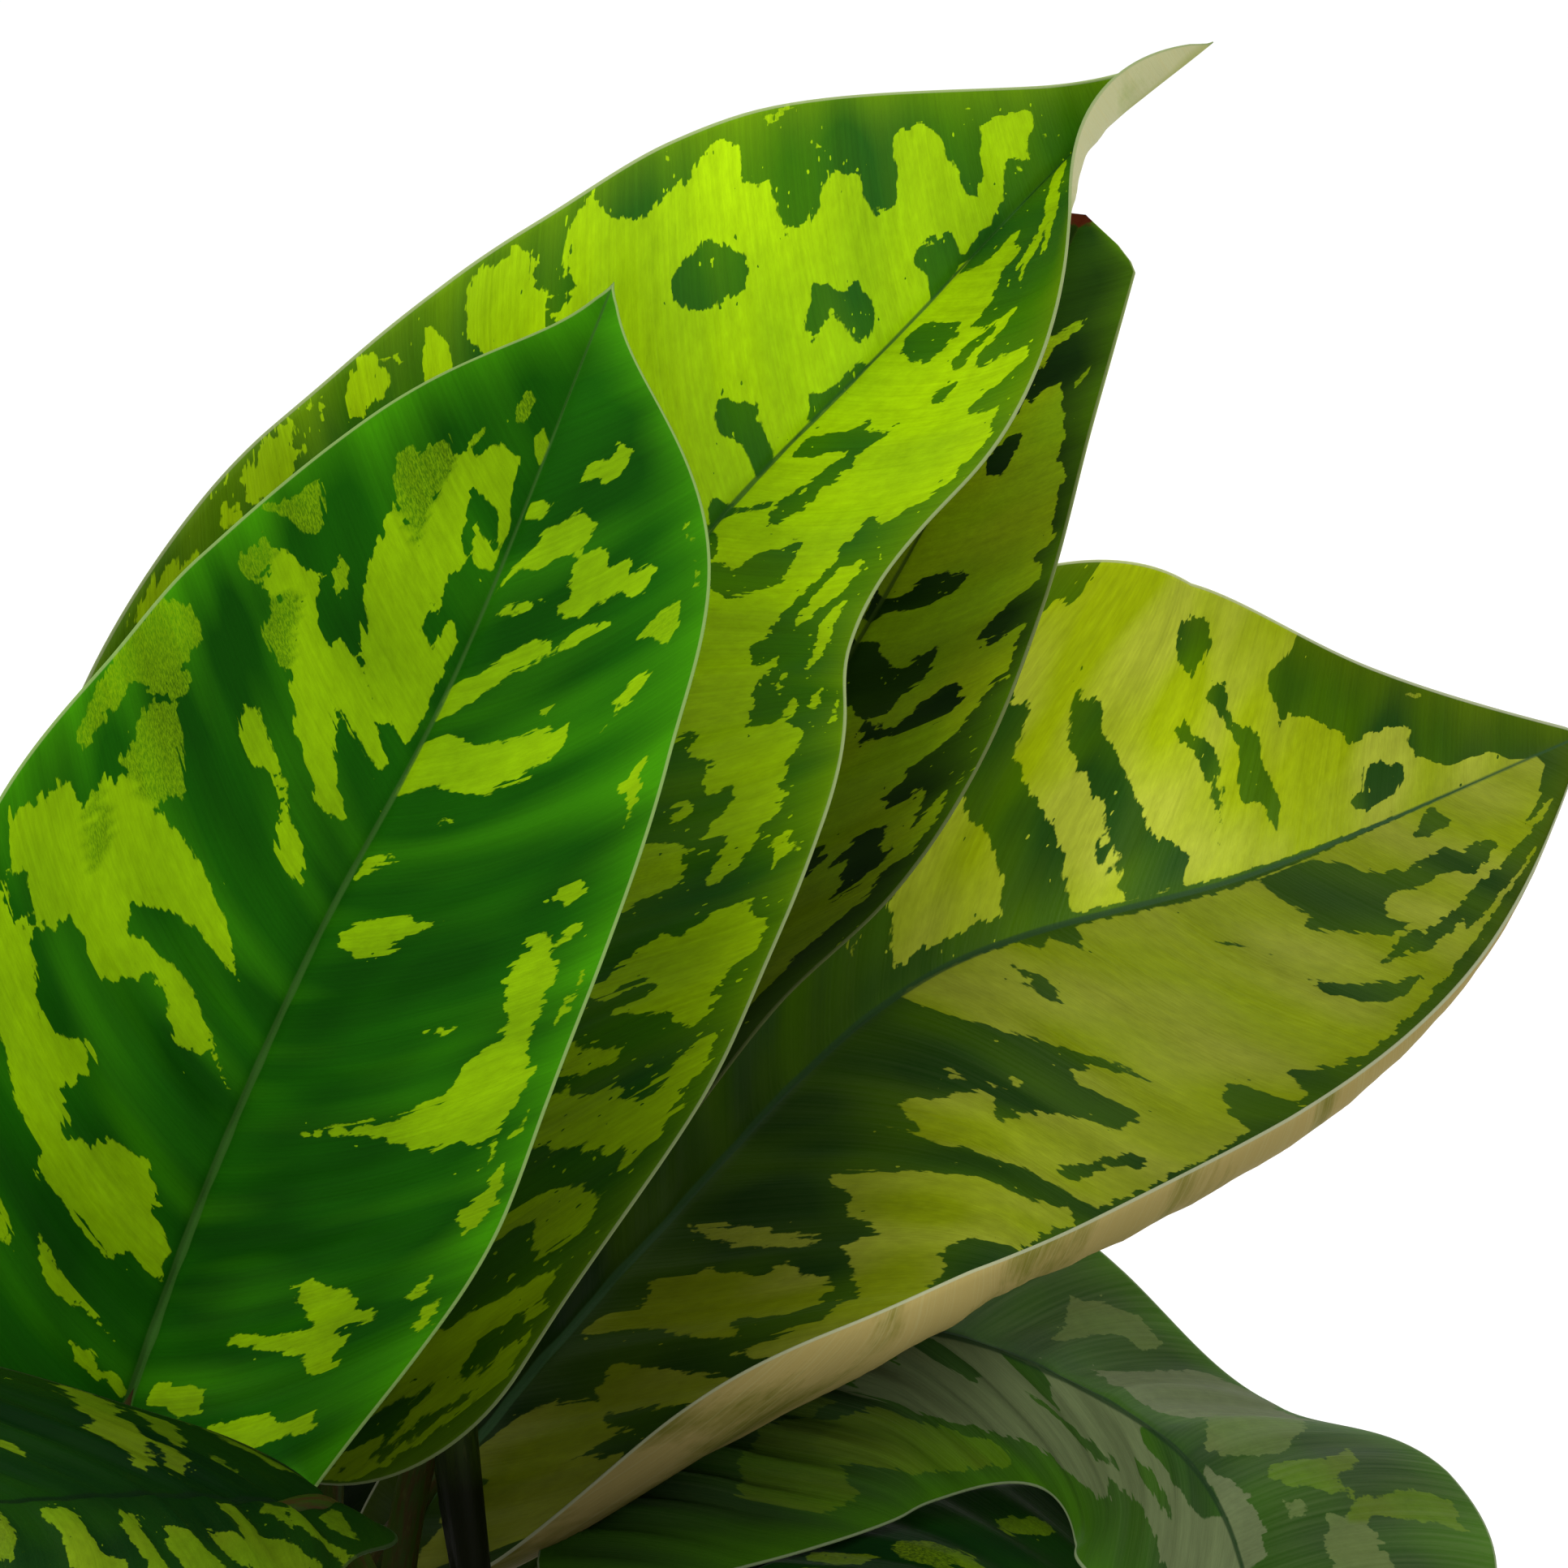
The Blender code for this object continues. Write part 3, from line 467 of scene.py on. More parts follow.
tallMarks = [
    [1, (-0.73, 0.83), (-0.6, 0.832), (-0.45, 0.828), (-0.35, 0.822), (-0.25, 0.822), (-0.16, 0.815),
     (-0.3, 0.812), (-0.28, 0.803), (-0.1, 0.8), (0, 0.8), (0, 0.77), (0, 0.58), (0, 0.5), (-0.65, 0.48),
     (-0.7, 0.487), (-0.8, 0.49), (-0.93, 0.49), (-0.98, 0.5), (-0.97, 0.515), (-0.9, 0.52), (-0.85, 0.54),
     (-0.83, 0.555), (-0.84, 0.565), (-0.86, 0.59), (-0.91, 0.6), (-0.93, 0.615), (-0.9, 0.628),
     (-0.76, 0.63), (-0.72, 0.64), (-0.73, 0.65), (-0.66, 0.652), (-0.5, 0.658), (-0.52, 0.665),
     (-0.5, 0.675), (-0.55, 0.685), (-0.65, 0.692), (-0.58, 0.712), (-0.5, 0.713), (-0.36, 0.722),
     (-0.4, 0.735), (-0.5, 0.738), (-0.6, 0.735), (-0.68, 0.738), (-0.72, 0.745), (-0.75, 0.762),
     (-0.62, 0.768), (-0.45, 0.772), (-0.25, 0.777), (-0.18, 0.783), (-0.28, 0.788), (-0.45, 0.793),
     (-0.62, 0.795), (-0.68, 0.81), (-0.74, 0.808), (-0.66, 0.815)],
    [1, (-0.6, 0.478), (-0.82, 0.478), (-0.84, 0.465), (-0.93, 0.462), (-0.98, 0.45), (-0.97, 0.43),
     (-0.95, 0.415), (-0.85, 0.415), (-0.78, 0.43), (-0.6, 0.43)],
    [1, (-0.7, 0.41), (-0.8, 0.405), (-0.9, 0.395), (-0.95, 0.383), (-0.85, 0.375), (-0.7, 0.38)],
    [0.9, (-0.95, 0.36), (-0.91, 0.36), (-0.93, 0.35)],
    [1, (-0.98, 0.335), (-0.9, 0.345), (-0.87, 0.345), (-0.87, 0.305), (-0.93, 0.303), (-0.99, 0.315)],
    [1, (-0.99, 0.285), (-0.94, 0.28), (-0.98, 0.265)],
    [1, (-0.99, 0.245), (-0.96, 0.25), (-0.93, 0.24), (-0.9, 0.26), (-0.88, 0.225), (-0.88, 0.2),
     (-0.96, 0.19), (-0.99, 0.21)],
    [1, (-0.92, 0.185), (-0.97, 0.165), (-0.93, 0.165), (-0.88, 0.18)],
    [1, (-0.92, 0.15), (-0.97, 0.12), (-0.98, 0.08), (-0.93, 0.1), (-0.88, 0.14)],
    [0.8, (-0.36, 0.836), (-0.3, 0.838), (-0.26, 0.834), (-0.32, 0.832)],
    [0.8, (-0.85, 0.793), (-0.79, 0.791), (-0.8, 0.788)],
    [0.8, (-0.8, 0.695), (-0.76, 0.685), (-0.74, 0.688)],
    [0.8, (-0.9, 0.718), (-0.85, 0.716), (-0.88, 0.713)],
    [0.8, (-0.98, 0.58), (-0.93, 0.578), (-0.93, 0.57), (-0.97, 0.57)],
    [0.7, (-0.98, 0.675), (-0.93, 0.66), (-0.95, 0.645), (-0.98, 0.65)],
    [0.8, (-0.45, 0.35), (-0.2, 0.36), (-0.1, 0.3), (-0.4, 0.28)],
    [0.8, (-0.6, 0.2), (-0.3, 0.22), (-0.2, 0.12), (-0.5, 0.1)],
    [1, (0, 0.845), (0.1, 0.84), (0.2, 0.828), (0.32, 0.81), (0.42, 0.79), (0.48, 0.77), (0.47, 0.745),
     (0.43, 0.75), (0.44, 0.765), (0.38, 0.785), (0.25, 0.803), (0.05, 0.832)],
    [1, (0.3, 0.815), (0.4, 0.803), (0.52, 0.785), (0.6, 0.765), (0.56, 0.762), (0.5, 0.775), (0.4, 0.79),
     (0.3, 0.803)],
    [1, (0, 0.805), (0.1, 0.798), (0.17, 0.79), (0.25, 0.777), (0.36, 0.775), (0.38, 0.785), (0.44, 0.77),
     (0.42, 0.76), (0.36, 0.74), (0.38, 0.72), (0.46, 0.717), (0.58, 0.728), (0.6, 0.69), (0.7, 0.688),
     (0.8, 0.69), (0.88, 0.685), (0.84, 0.677), (0.74, 0.662), (0.68, 0.655), (0.73, 0.648), (0.88, 0.645),
     (0.92, 0.63), (0.92, 0.59), (0.9, 0.58), (0.82, 0.57), (0.72, 0.572), (0.69, 0.545), (0.66, 0.52),
     (0.6, 0.495), (0.55, 0.472), (0.47, 0.45), (0.48, 0.443), (0.51, 0.43), (0.56, 0.43), (0.61, 0.445),
     (0.63, 0.43), (0.54, 0.405), (0.58, 0.385), (0.58, 0.368), (0.68, 0.368), (0.73, 0.393), (0.76, 0.388),
     (0.73, 0.365), (0.83, 0.352), (0.78, 0.31), (0.83, 0.3), (0.79, 0.26), (0.72, 0.236), (0.67, 0.248),
     (0.72, 0.275), (0.62, 0.28), (0.61, 0.29), (0.65, 0.31), (0.62, 0.322), (0.55, 0.32), (0.51, 0.335),
     (0.51, 0.35), (0.44, 0.352), (0.42, 0.37), (0.35, 0.355), (0.25, 0.36), (0.1, 0.55), (0, 0.565),
     (0, 0.7), (0, 0.76)],
    [1, (0.46, 0.318), (0.5, 0.32), (0.53, 0.305), (0.5, 0.3), (0.46, 0.31)],
    [0.9, (0.38, 0.28), (0.45, 0.288), (0.52, 0.285), (0.6, 0.275), (0.6, 0.255), (0.55, 0.24),
     (0.5, 0.235), (0.42, 0.245)],
    [1, (0.5, 0.175), (0.58, 0.19), (0.66, 0.205), (0.7, 0.2), (0.76, 0.212), (0.88, 0.21), (0.89, 0.195),
     (0.95, 0.19), (0.96, 0.165), (0.89, 0.15), (0.9, 0.115), (0.86, 0.108), (0.78, 0.13), (0.63, 0.147),
     (0.62, 0.153), (0.7, 0.152), (0.71, 0.163), (0.63, 0.172), (0.57, 0.165)],
    [0.9, (0.48, 0.145), (0.55, 0.14), (0.62, 0.128), (0.7, 0.12), (0.7, 0.112), (0.62, 0.112),
     (0.58, 0.12), (0.5, 0.13)],
    [1, (0.55, 0.115), (0.62, 0.105), (0.7, 0.095), (0.76, 0.088), (0.8, 0.075), (0.86, 0.07),
     (0.88, 0.085), (0.94, 0.095), (0.96, 0.08), (0.95, 0.05), (0.94, 0.02), (0.9, 0.025), (0.87, 0.04),
     (0.8, 0.05), (0.75, 0.06), (0.68, 0.07), (0.58, 0.085)],
    [0.9, (0.66, 0.045), (0.78, 0.04), (0.9, 0.015), (0.92, 0), (0.85, 0), (0.75, 0.03), (0.68, 0.03)],
    [1, (0.85, 0.26), (0.9, 0.265), (0.91, 0.25), (0.88, 0.232), (0.87, 0.245)],
    [1, (0.93, 0.255), (0.95, 0.245), (0.95, 0.23)],
    [1, (0.66, 0.475), (0.7, 0.51), (0.74, 0.53), (0.82, 0.54), (0.86, 0.53), (0.83, 0.51), (0.78, 0.495),
     (0.72, 0.478)],
    [1, (0.77, 0.425), (0.79, 0.44), (0.8, 0.47), (0.83, 0.49), (0.88, 0.503), (0.89, 0.49), (0.87, 0.455),
     (0.8, 0.42)],
    [1, (0.8, 0.38), (0.83, 0.395), (0.87, 0.402), (0.86, 0.385), (0.84, 0.375)],
    [1, (0.92, 0.355), (0.95, 0.38), (0.97, 0.4), (0.96, 0.37), (0.94, 0.355)],
    [0.9, (0.64, 0.405), (0.69, 0.425), (0.69, 0.42), (0.66, 0.4)],
    [0.9, (0.75, 0.57), (0.82, 0.582), (0.88, 0.58), (0.8, 0.56)],
    [0, (-0.15, 0.737), (-0.2, 0.75), (-0.15, 0.752), (-0.12, 0.747), (-0.17, 0.762), (-0.12, 0.766),
     (-0.03, 0.766), (0, 0.755), (0, 0.742), (-0.04, 0.742), (-0.08, 0.744)],
    [0, (-0.03, 0.766), (-0.06, 0.78), (-0.05, 0.785), (0, 0.785), (0, 0.766)],
    [0, (-0.11, 0.793), (-0.06, 0.805), (0, 0.812), (0, 0.79), (-0.04, 0.788)],
    [0, (0, 0.83), (0.05, 0.807), (0.12, 0.808), (0.19, 0.797), (0.19, 0.787), (0.14, 0.785), (0.17, 0.772),
     (0.1, 0.765), (0.02, 0.76), (0, 0.775)],
    [0, (0.33, 0.737), (0.31, 0.762), (0.33, 0.778), (0.37, 0.778), (0.4, 0.757), (0.44, 0.735),
     (0.42, 0.722), (0.36, 0.72)],
    [0, (-0.23, 0.7), (-0.13, 0.708), (-0.07, 0.698), (-0.07, 0.69), (-0.15, 0.685), (-0.21, 0.68),
     (-0.19, 0.66), (-0.25, 0.658), (-0.33, 0.668), (-0.29, 0.68), (-0.25, 0.69)],
    [0, (-0.04, 0.692), (0, 0.69), (0, 0.645), (-0.1, 0.655), (-0.05, 0.66), (-0.03, 0.672)],
    [0, (-0.6, 0.615), (-0.55, 0.625), (-0.48, 0.628), (-0.46, 0.605), (-0.5, 0.585), (-0.58, 0.568),
     (-0.62, 0.568), (-0.66, 0.59), (-0.67, 0.6), (-0.62, 0.605)],
    [0, (-0.28, 0.597), (-0.22, 0.602), (-0.19, 0.612), (-0.15, 0.62), (-0.1, 0.618), (0, 0.622),
     (0, 0.605), (-0.1, 0.602), (-0.15, 0.592), (-0.22, 0.588)],
    [0, (-0.07, 0.575), (0, 0.58), (0, 0.56), (-0.05, 0.565)],
    [0, (-0.8, 0.5), (-0.76, 0.497), (-0.74, 0.49), (-0.82, 0.487)],
    [0, (0.05, 0.715), (0.1, 0.728), (0.2, 0.728), (0.27, 0.724), (0.33, 0.713), (0.28, 0.698),
     (0.2, 0.698), (0.1, 0.705)],
    [0, (0.36, 0.735), (0.4, 0.755), (0.45, 0.755), (0.47, 0.735), (0.46, 0.72), (0.4, 0.722)],
    [0, (0.43, 0.69), (0.41, 0.704), (0.47, 0.716), (0.52, 0.714), (0.51, 0.698), (0.48, 0.688)],
    [0, (0.54, 0.69), (0.56, 0.702), (0.62, 0.716), (0.72, 0.712), (0.68, 0.688), (0.6, 0.685)],
    [0, (0.46, 0.668), (0.52, 0.68), (0.55, 0.67), (0.5, 0.662)],
    [0, (0.06, 0.638), (0.12, 0.64), (0.22, 0.645), (0.27, 0.655), (0.29, 0.645), (0.43, 0.642),
     (0.42, 0.632), (0.36, 0.62), (0.42, 0.617), (0.34, 0.6), (0.32, 0.58), (0.28, 0.568), (0.22, 0.575),
     (0.18, 0.585), (0.22, 0.6), (0.3, 0.615), (0.33, 0.628), (0.25, 0.628), (0.18, 0.622), (0.08, 0.622)],
    [0, (0, 0.58), (0.08, 0.585), (0.18, 0.592), (0.16, 0.585), (0.05, 0.575), (0, 0.57)],
    [0, (0.1, 0.535), (0.22, 0.53), (0.3, 0.545), (0.38, 0.55), (0.42, 0.558), (0.47, 0.555), (0.48, 0.54),
     (0.47, 0.52), (0.38, 0.507), (0.28, 0.5), (0.22, 0.505), (0.1, 0.52)],
    [0, (0.36, 0.375), (0.4, 0.378), (0.41, 0.37), (0.38, 0.355), (0.34, 0.36)],
    [0, (0.42, 0.345), (0.46, 0.352), (0.52, 0.35), (0.51, 0.335), (0.47, 0.325), (0.43, 0.325),
     (0.38, 0.335)],
    [1, (0.6, 0), (0.75, -0.005), (0.92, -0.015), (0.97, -0.05), (0.96, -0.08), (0.88, -0.07),
     (0.7, -0.045), (0.6, -0.03)],
    [0, (0.82, -0.025), (0.9, -0.028), (0.96, -0.042), (0.9, -0.047), (0.83, -0.038)],
    [0, (0.78, -0.042), (0.87, -0.05), (0.92, -0.056), (0.84, -0.056), (0.77, -0.05)],
    [0, (0.68, -0.026), (0.79, -0.034), (0.8, -0.042), (0.7, -0.036)],
    [0, (0.9, -0.06), (0.97, -0.062), (0.96, -0.072), (0.9, -0.068)],
]
shadedMarks = [
    [0.9, (-1.1, 0.85), (-0.3, 0.86), (0.1, 0.8), (0.22, 0.8), (0.27, 0.83), (0.25, 0.84), (0.35, 0.835),
     (0.45, 0.842), (0.55, 0.845), (0.62, 0.835), (0.66, 0.82), (0.72, 0.81), (0.78, 0.79), (0.76, 0.765),
     (0.8, 0.76), (0.88, 0.74), (0.9, 0.7), (0.93, 0.6), (0.93, 0.3), (0.9, 0.05), (0, 0), (-1.1, 0)],
    [0.8, (0.2, 0.9), (0.3, 0.895), (0.55, 0.9), (0.65, 0.905), (0.5, 0.89), (0.38, 0.88), (0.35, 0.865),
     (0.22, 0.87)],
    [0.7, (0.7, 0.84), (0.78, 0.85), (0.83, 0.852), (0.78, 0.84), (0.72, 0.835)],
    [0, (0.2, 0.785), (0.28, 0.808), (0.4, 0.805), (0.43, 0.79), (0.35, 0.768), (0.25, 0.775)],
    [0, (-0.05, 0.67), (0.1, 0.67), (0.2, 0.683), (0.38, 0.682), (0.43, 0.672), (0.38, 0.66), (0.24, 0.65),
     (0.1, 0.655), (-0.05, 0.645)],
    [0, (-0.1, 0.63), (0.1, 0.628), (0.18, 0.61), (0.25, 0.6), (0.32, 0.595), (0.42, 0.608), (0.45, 0.6),
     (0.5, 0.58), (0.48, 0.57), (0.42, 0.565), (0.38, 0.545), (0.3, 0.545), (0.1, 0.57)],
    [0, (0.3, 0.54), (0.45, 0.53), (0.55, 0.545), (0.62, 0.555), (0.7, 0.545), (0.7, 0.535), (0.76, 0.53),
     (0.7, 0.515), (0.55, 0.515), (0.42, 0.52), (0.3, 0.525)],
    [0, (0.66, 0.595), (0.72, 0.612), (0.8, 0.622), (0.95, 0.63), (0.95, 0.59), (0.86, 0.585), (0.75, 0.585)],
    [0, (0.95, 0.7), (0.88, 0.67), (0.83, 0.67), (0.8, 0.665), (0.84, 0.655), (0.95, 0.65)],
    [0, (0.66, 0.47), (0.72, 0.475), (0.8, 0.49), (0.88, 0.53), (0.94, 0.53), (0.94, 0.42), (0.85, 0.39),
     (0.84, 0.42), (0.8, 0.43), (0.75, 0.44), (0.68, 0.43), (0.62, 0.445)],
    [0, (0.58, 0.39), (0.66, 0.415), (0.72, 0.41), (0.76, 0.39), (0.8, 0.375), (0.84, 0.38), (0.8, 0.35),
     (0.72, 0.35), (0.68, 0.385)],
    [0, (0.4, 0.42), (0.5, 0.42), (0.55, 0.4), (0.48, 0.39)],
    [0, (0.1, 0.45), (0.3, 0.47), (0.35, 0.44), (0.2, 0.42)],
    [0, (0.85, 0.35), (0.95, 0.36), (0.95, 0.2), (0.8, 0.26), (0.9, 0.33)],
    [0, (0.05, 0.3), (0.3, 0.28), (0.55, 0.25), (0.5, 0.21), (0.2, 0.22)],
    [0, (0.1, 0.15), (0.5, 0.14), (0.8, 0.1), (0.5, 0.1)],
]
rightMarks = [
    [1, (0, 0.955), (-0.1, 0.94), (-0.28, 0.925), (-0.22, 0.89), (-0.29, 0.875), (-0.35, 0.86),
     (-0.45, 0.855), (-0.56, 0.855), (-0.58, 0.845), (-0.5, 0.82), (-0.42, 0.8), (-0.5, 0.795),
     (-0.52, 0.78), (-0.55, 0.77), (-0.56, 0.75), (-0.52, 0.735), (-0.56, 0.73), (-0.66, 0.715),
     (-0.72, 0.715), (-0.82, 0.725), (-1.02, 0.735), (-1.02, 0.47), (-0.9, 0.47), (-0.86, 0.44),
     (-0.66, 0.48), (-0.62, 0.5), (-0.5, 0.51), (-0.33, 0.555), (-0.2, 0.585), (-0.02, 0.61), (-0.02, 0.7)],
    [1, (-0.08, 0.555), (-0.17, 0.55), (-0.28, 0.53), (-0.33, 0.52), (-0.36, 0.505), (-0.44, 0.49),
     (-0.45, 0.48), (-0.27, 0.465), (-0.15, 0.475), (-0.07, 0.48), (-0.09, 0.5), (-0.07, 0.52)],
    [0.6, (-0.91, 0.865), (-0.85, 0.86), (-0.84, 0.845), (-0.88, 0.848)],
    [0.8, (-0.25, 0.446), (-0.2, 0.444), (-0.24, 0.44)],
    [0.8, (-0.3, 0.2), (-0.8, 0.25), (-0.9, 0.15), (-0.4, 0.12)],
    [1, (0, 0.96), (0.2, 0.955), (0.33, 0.94), (0.4, 0.93), (0.46, 0.93), (0.5, 0.895), (0.6, 0.925),
     (0.68, 0.935), (0.65, 0.91), (0.58, 0.885), (0.54, 0.86), (0.5, 0.83), (0.49, 0.8), (0.47, 0.77),
     (0.49, 0.74), (0.54, 0.745), (0.56, 0.79), (0.62, 0.78), (0.66, 0.82), (0.72, 0.86), (0.76, 0.885),
     (0.8, 0.88), (0.74, 0.85), (0.7, 0.8), (0.71, 0.7), (0.69, 0.64), (0.66, 0.62), (0.62, 0.6),
     (0.55, 0.59), (0.56, 0.585), (0.64, 0.58), (0.66, 0.565), (0.67, 0.5), (0.67, 0.37), (0.62, 0.368),
     (0.57, 0.372), (0.5, 0.37), (0.45, 0.358), (0.35, 0.352), (0.22, 0.358), (0.29, 0.362), (0.22, 0.38),
     (0.24, 0.398), (0.31, 0.428), (0.36, 0.405), (0.4, 0.44), (0.49, 0.465), (0.48, 0.49), (0.36, 0.483),
     (0.33, 0.49), (0.33, 0.505), (0.4, 0.525), (0.35, 0.525), (0.24, 0.5), (0.18, 0.49), (0.1, 0.482),
     (0, 0.483), (0.02, 0.7)],
    [1, (0.22, 0.305), (0.27, 0.31), (0.38, 0.315), (0.45, 0.325), (0.55, 0.335), (0.64, 0.355),
     (0.68, 0.34), (0.69, 0.26), (0.62, 0.255), (0.57, 0.25), (0.55, 0.235), (0.58, 0.215), (0.6, 0.2),
     (0.62, 0.18), (0.6, 0.14), (0.57, 0.105), (0.5, 0.12), (0.44, 0.135), (0.52, 0.15), (0.5, 0.18),
     (0.42, 0.215), (0.38, 0.235), (0.42, 0.245), (0.33, 0.265), (0.3, 0.285)],
    [1, (0.11, 0.215), (0.2, 0.222), (0.27, 0.215), (0.3, 0.21), (0.33, 0.22), (0.37, 0.205), (0.45, 0.19),
     (0.46, 0.17), (0.43, 0.165), (0.35, 0.17), (0.43, 0.145), (0.34, 0.155), (0.24, 0.17), (0.17, 0.175),
     (0.04, 0.178), (0.06, 0.19), (0.12, 0.195)],
    [0.9, (0.03, 0.27), (0.1, 0.265), (0.18, 0.26), (0.27, 0.248), (0.33, 0.243), (0.31, 0.235),
     (0.24, 0.24), (0.15, 0.25)],
    [0.9, (0.29, 0.435), (0.31, 0.455), (0.32, 0.45), (0.3, 0.435)],
    [0.8, (0.22, 0.43), (0.25, 0.43), (0.23, 0.42)],
    [1, (0.22, 0.145), (0.28, 0.14), (0.36, 0.128), (0.44, 0.12), (0.52, 0.11), (0.58, 0.1), (0.52, 0.084),
     (0.45, 0.088), (0.42, 0.1), (0.36, 0.097), (0.3, 0.107), (0.24, 0.122)],
    [1, (0.04, 0.085), (0.07, 0.11), (0.12, 0.121), (0.24, 0.118), (0.32, 0.11), (0.35, 0.092),
     (0.45, 0.08), (0.41, 0.066), (0.52, 0.056), (0.6, 0.028), (0.7, 0.004), (0.58, 0.003), (0.4, 0.016),
     (0.2, 0.04), (0.24, 0.062), (0.1, 0.068)],
    [0, (-0.35, 0.852), (-0.2, 0.852), (-0.12, 0.845), (-0.08, 0.82), (-0.14, 0.81), (-0.18, 0.82),
     (-0.3, 0.82), (-0.35, 0.83), (-0.3, 0.838)],
    [0, (-0.1, 0.75), (-0.2, 0.75), (-0.3, 0.735), (-0.36, 0.725), (-0.48, 0.715), (-0.5, 0.69),
     (-0.57, 0.68), (-0.65, 0.67), (-0.64, 0.655), (-0.6, 0.65), (-0.56, 0.665), (-0.52, 0.678),
     (-0.42, 0.7), (-0.24, 0.712), (-0.22, 0.735)],
    [0, (-0.12, 0.705), (-0.28, 0.695), (-0.38, 0.685), (-0.45, 0.67), (-0.47, 0.65), (-0.52, 0.635),
     (-0.51, 0.628), (-0.46, 0.635), (-0.43, 0.655), (-0.36, 0.67), (-0.3, 0.685), (-0.15, 0.7)],
    [0, (-0.88, 0.63), (-0.8, 0.64), (-0.72, 0.635), (-0.66, 0.625), (-0.7, 0.61), (-0.78, 0.595),
     (-0.83, 0.595), (-0.88, 0.61)],
    [0, (-0.02, 0.685), (-0.1, 0.685), (-0.16, 0.665), (-0.2, 0.645), (-0.34, 0.615), (-0.44, 0.59),
     (-0.52, 0.565), (-0.6, 0.555), (-0.6, 0.54), (-0.7, 0.518), (-0.6, 0.53), (-0.5, 0.545), (-0.4, 0.57),
     (-0.3, 0.6), (-0.2, 0.62), (-0.12, 0.635), (-0.02, 0.645)],
    [0, (-0.06, 0.635), (-0.18, 0.618), (-0.28, 0.604), (-0.17, 0.61)],
    [0, (0.35, 0.87), (0.4, 0.87), (0.43, 0.87), (0.44, 0.84), (0.43, 0.825), (0.36, 0.828), (0.32, 0.82),
     (0.3, 0.8), (0.26, 0.785), (0.27, 0.77), (0.33, 0.76), (0.4, 0.765), (0.38, 0.745), (0.3, 0.735),
     (0.25, 0.725), (0.2, 0.718), (0.18, 0.73), (0.1, 0.73), (0.02, 0.735), (0.02, 0.775), (0.06, 0.785),
     (0.12, 0.79), (0.18, 0.795), (0.21, 0.82), (0.24, 0.845), (0.3, 0.85)],
    [0, (0.02, 0.875), (0.06, 0.87), (0.13, 0.87), (0.15, 0.86), (0.13, 0.845), (0.11, 0.838), (0.08, 0.85),
     (0.03, 0.865)],
    [0, (0.41, 0.75), (0.45, 0.765), (0.48, 0.755), (0.47, 0.73), (0.44, 0.72), (0.43, 0.735)],
    [0, (0.33, 0.675), (0.42, 0.685), (0.5, 0.7), (0.56, 0.71), (0.6, 0.725), (0.61, 0.7), (0.58, 0.685),
     (0.5, 0.675), (0.42, 0.672)],
    [0, (0.1, 0.662), (0.17, 0.675), (0.24, 0.683), (0.18, 0.674)],
    [0, (0.04, 0.55), (0.1, 0.553), (0.18, 0.545), (0.15, 0.54), (0.1, 0.545)],
    [0, (0, 0.61), (0.05, 0.605), (0.06, 0.595), (0.02, 0.59), (0.05, 0.575), (0, 0.57)],
    [0, (0.56, 0.585), (0.63, 0.605), (0.69, 0.62), (0.68, 0.58), (0.64, 0.575)],
    [0, (0.5, 0.56), (0.58, 0.565), (0.68, 0.56), (0.67, 0.52), (0.64, 0.52), (0.58, 0.53), (0.52, 0.545)],
    [0, (0.56, 0.45), (0.6, 0.45), (0.61, 0.435), (0.57, 0.42), (0.58, 0.4), (0.55, 0.385), (0.52, 0.39),
     (0.54, 0.41), (0.55, 0.43)],
]
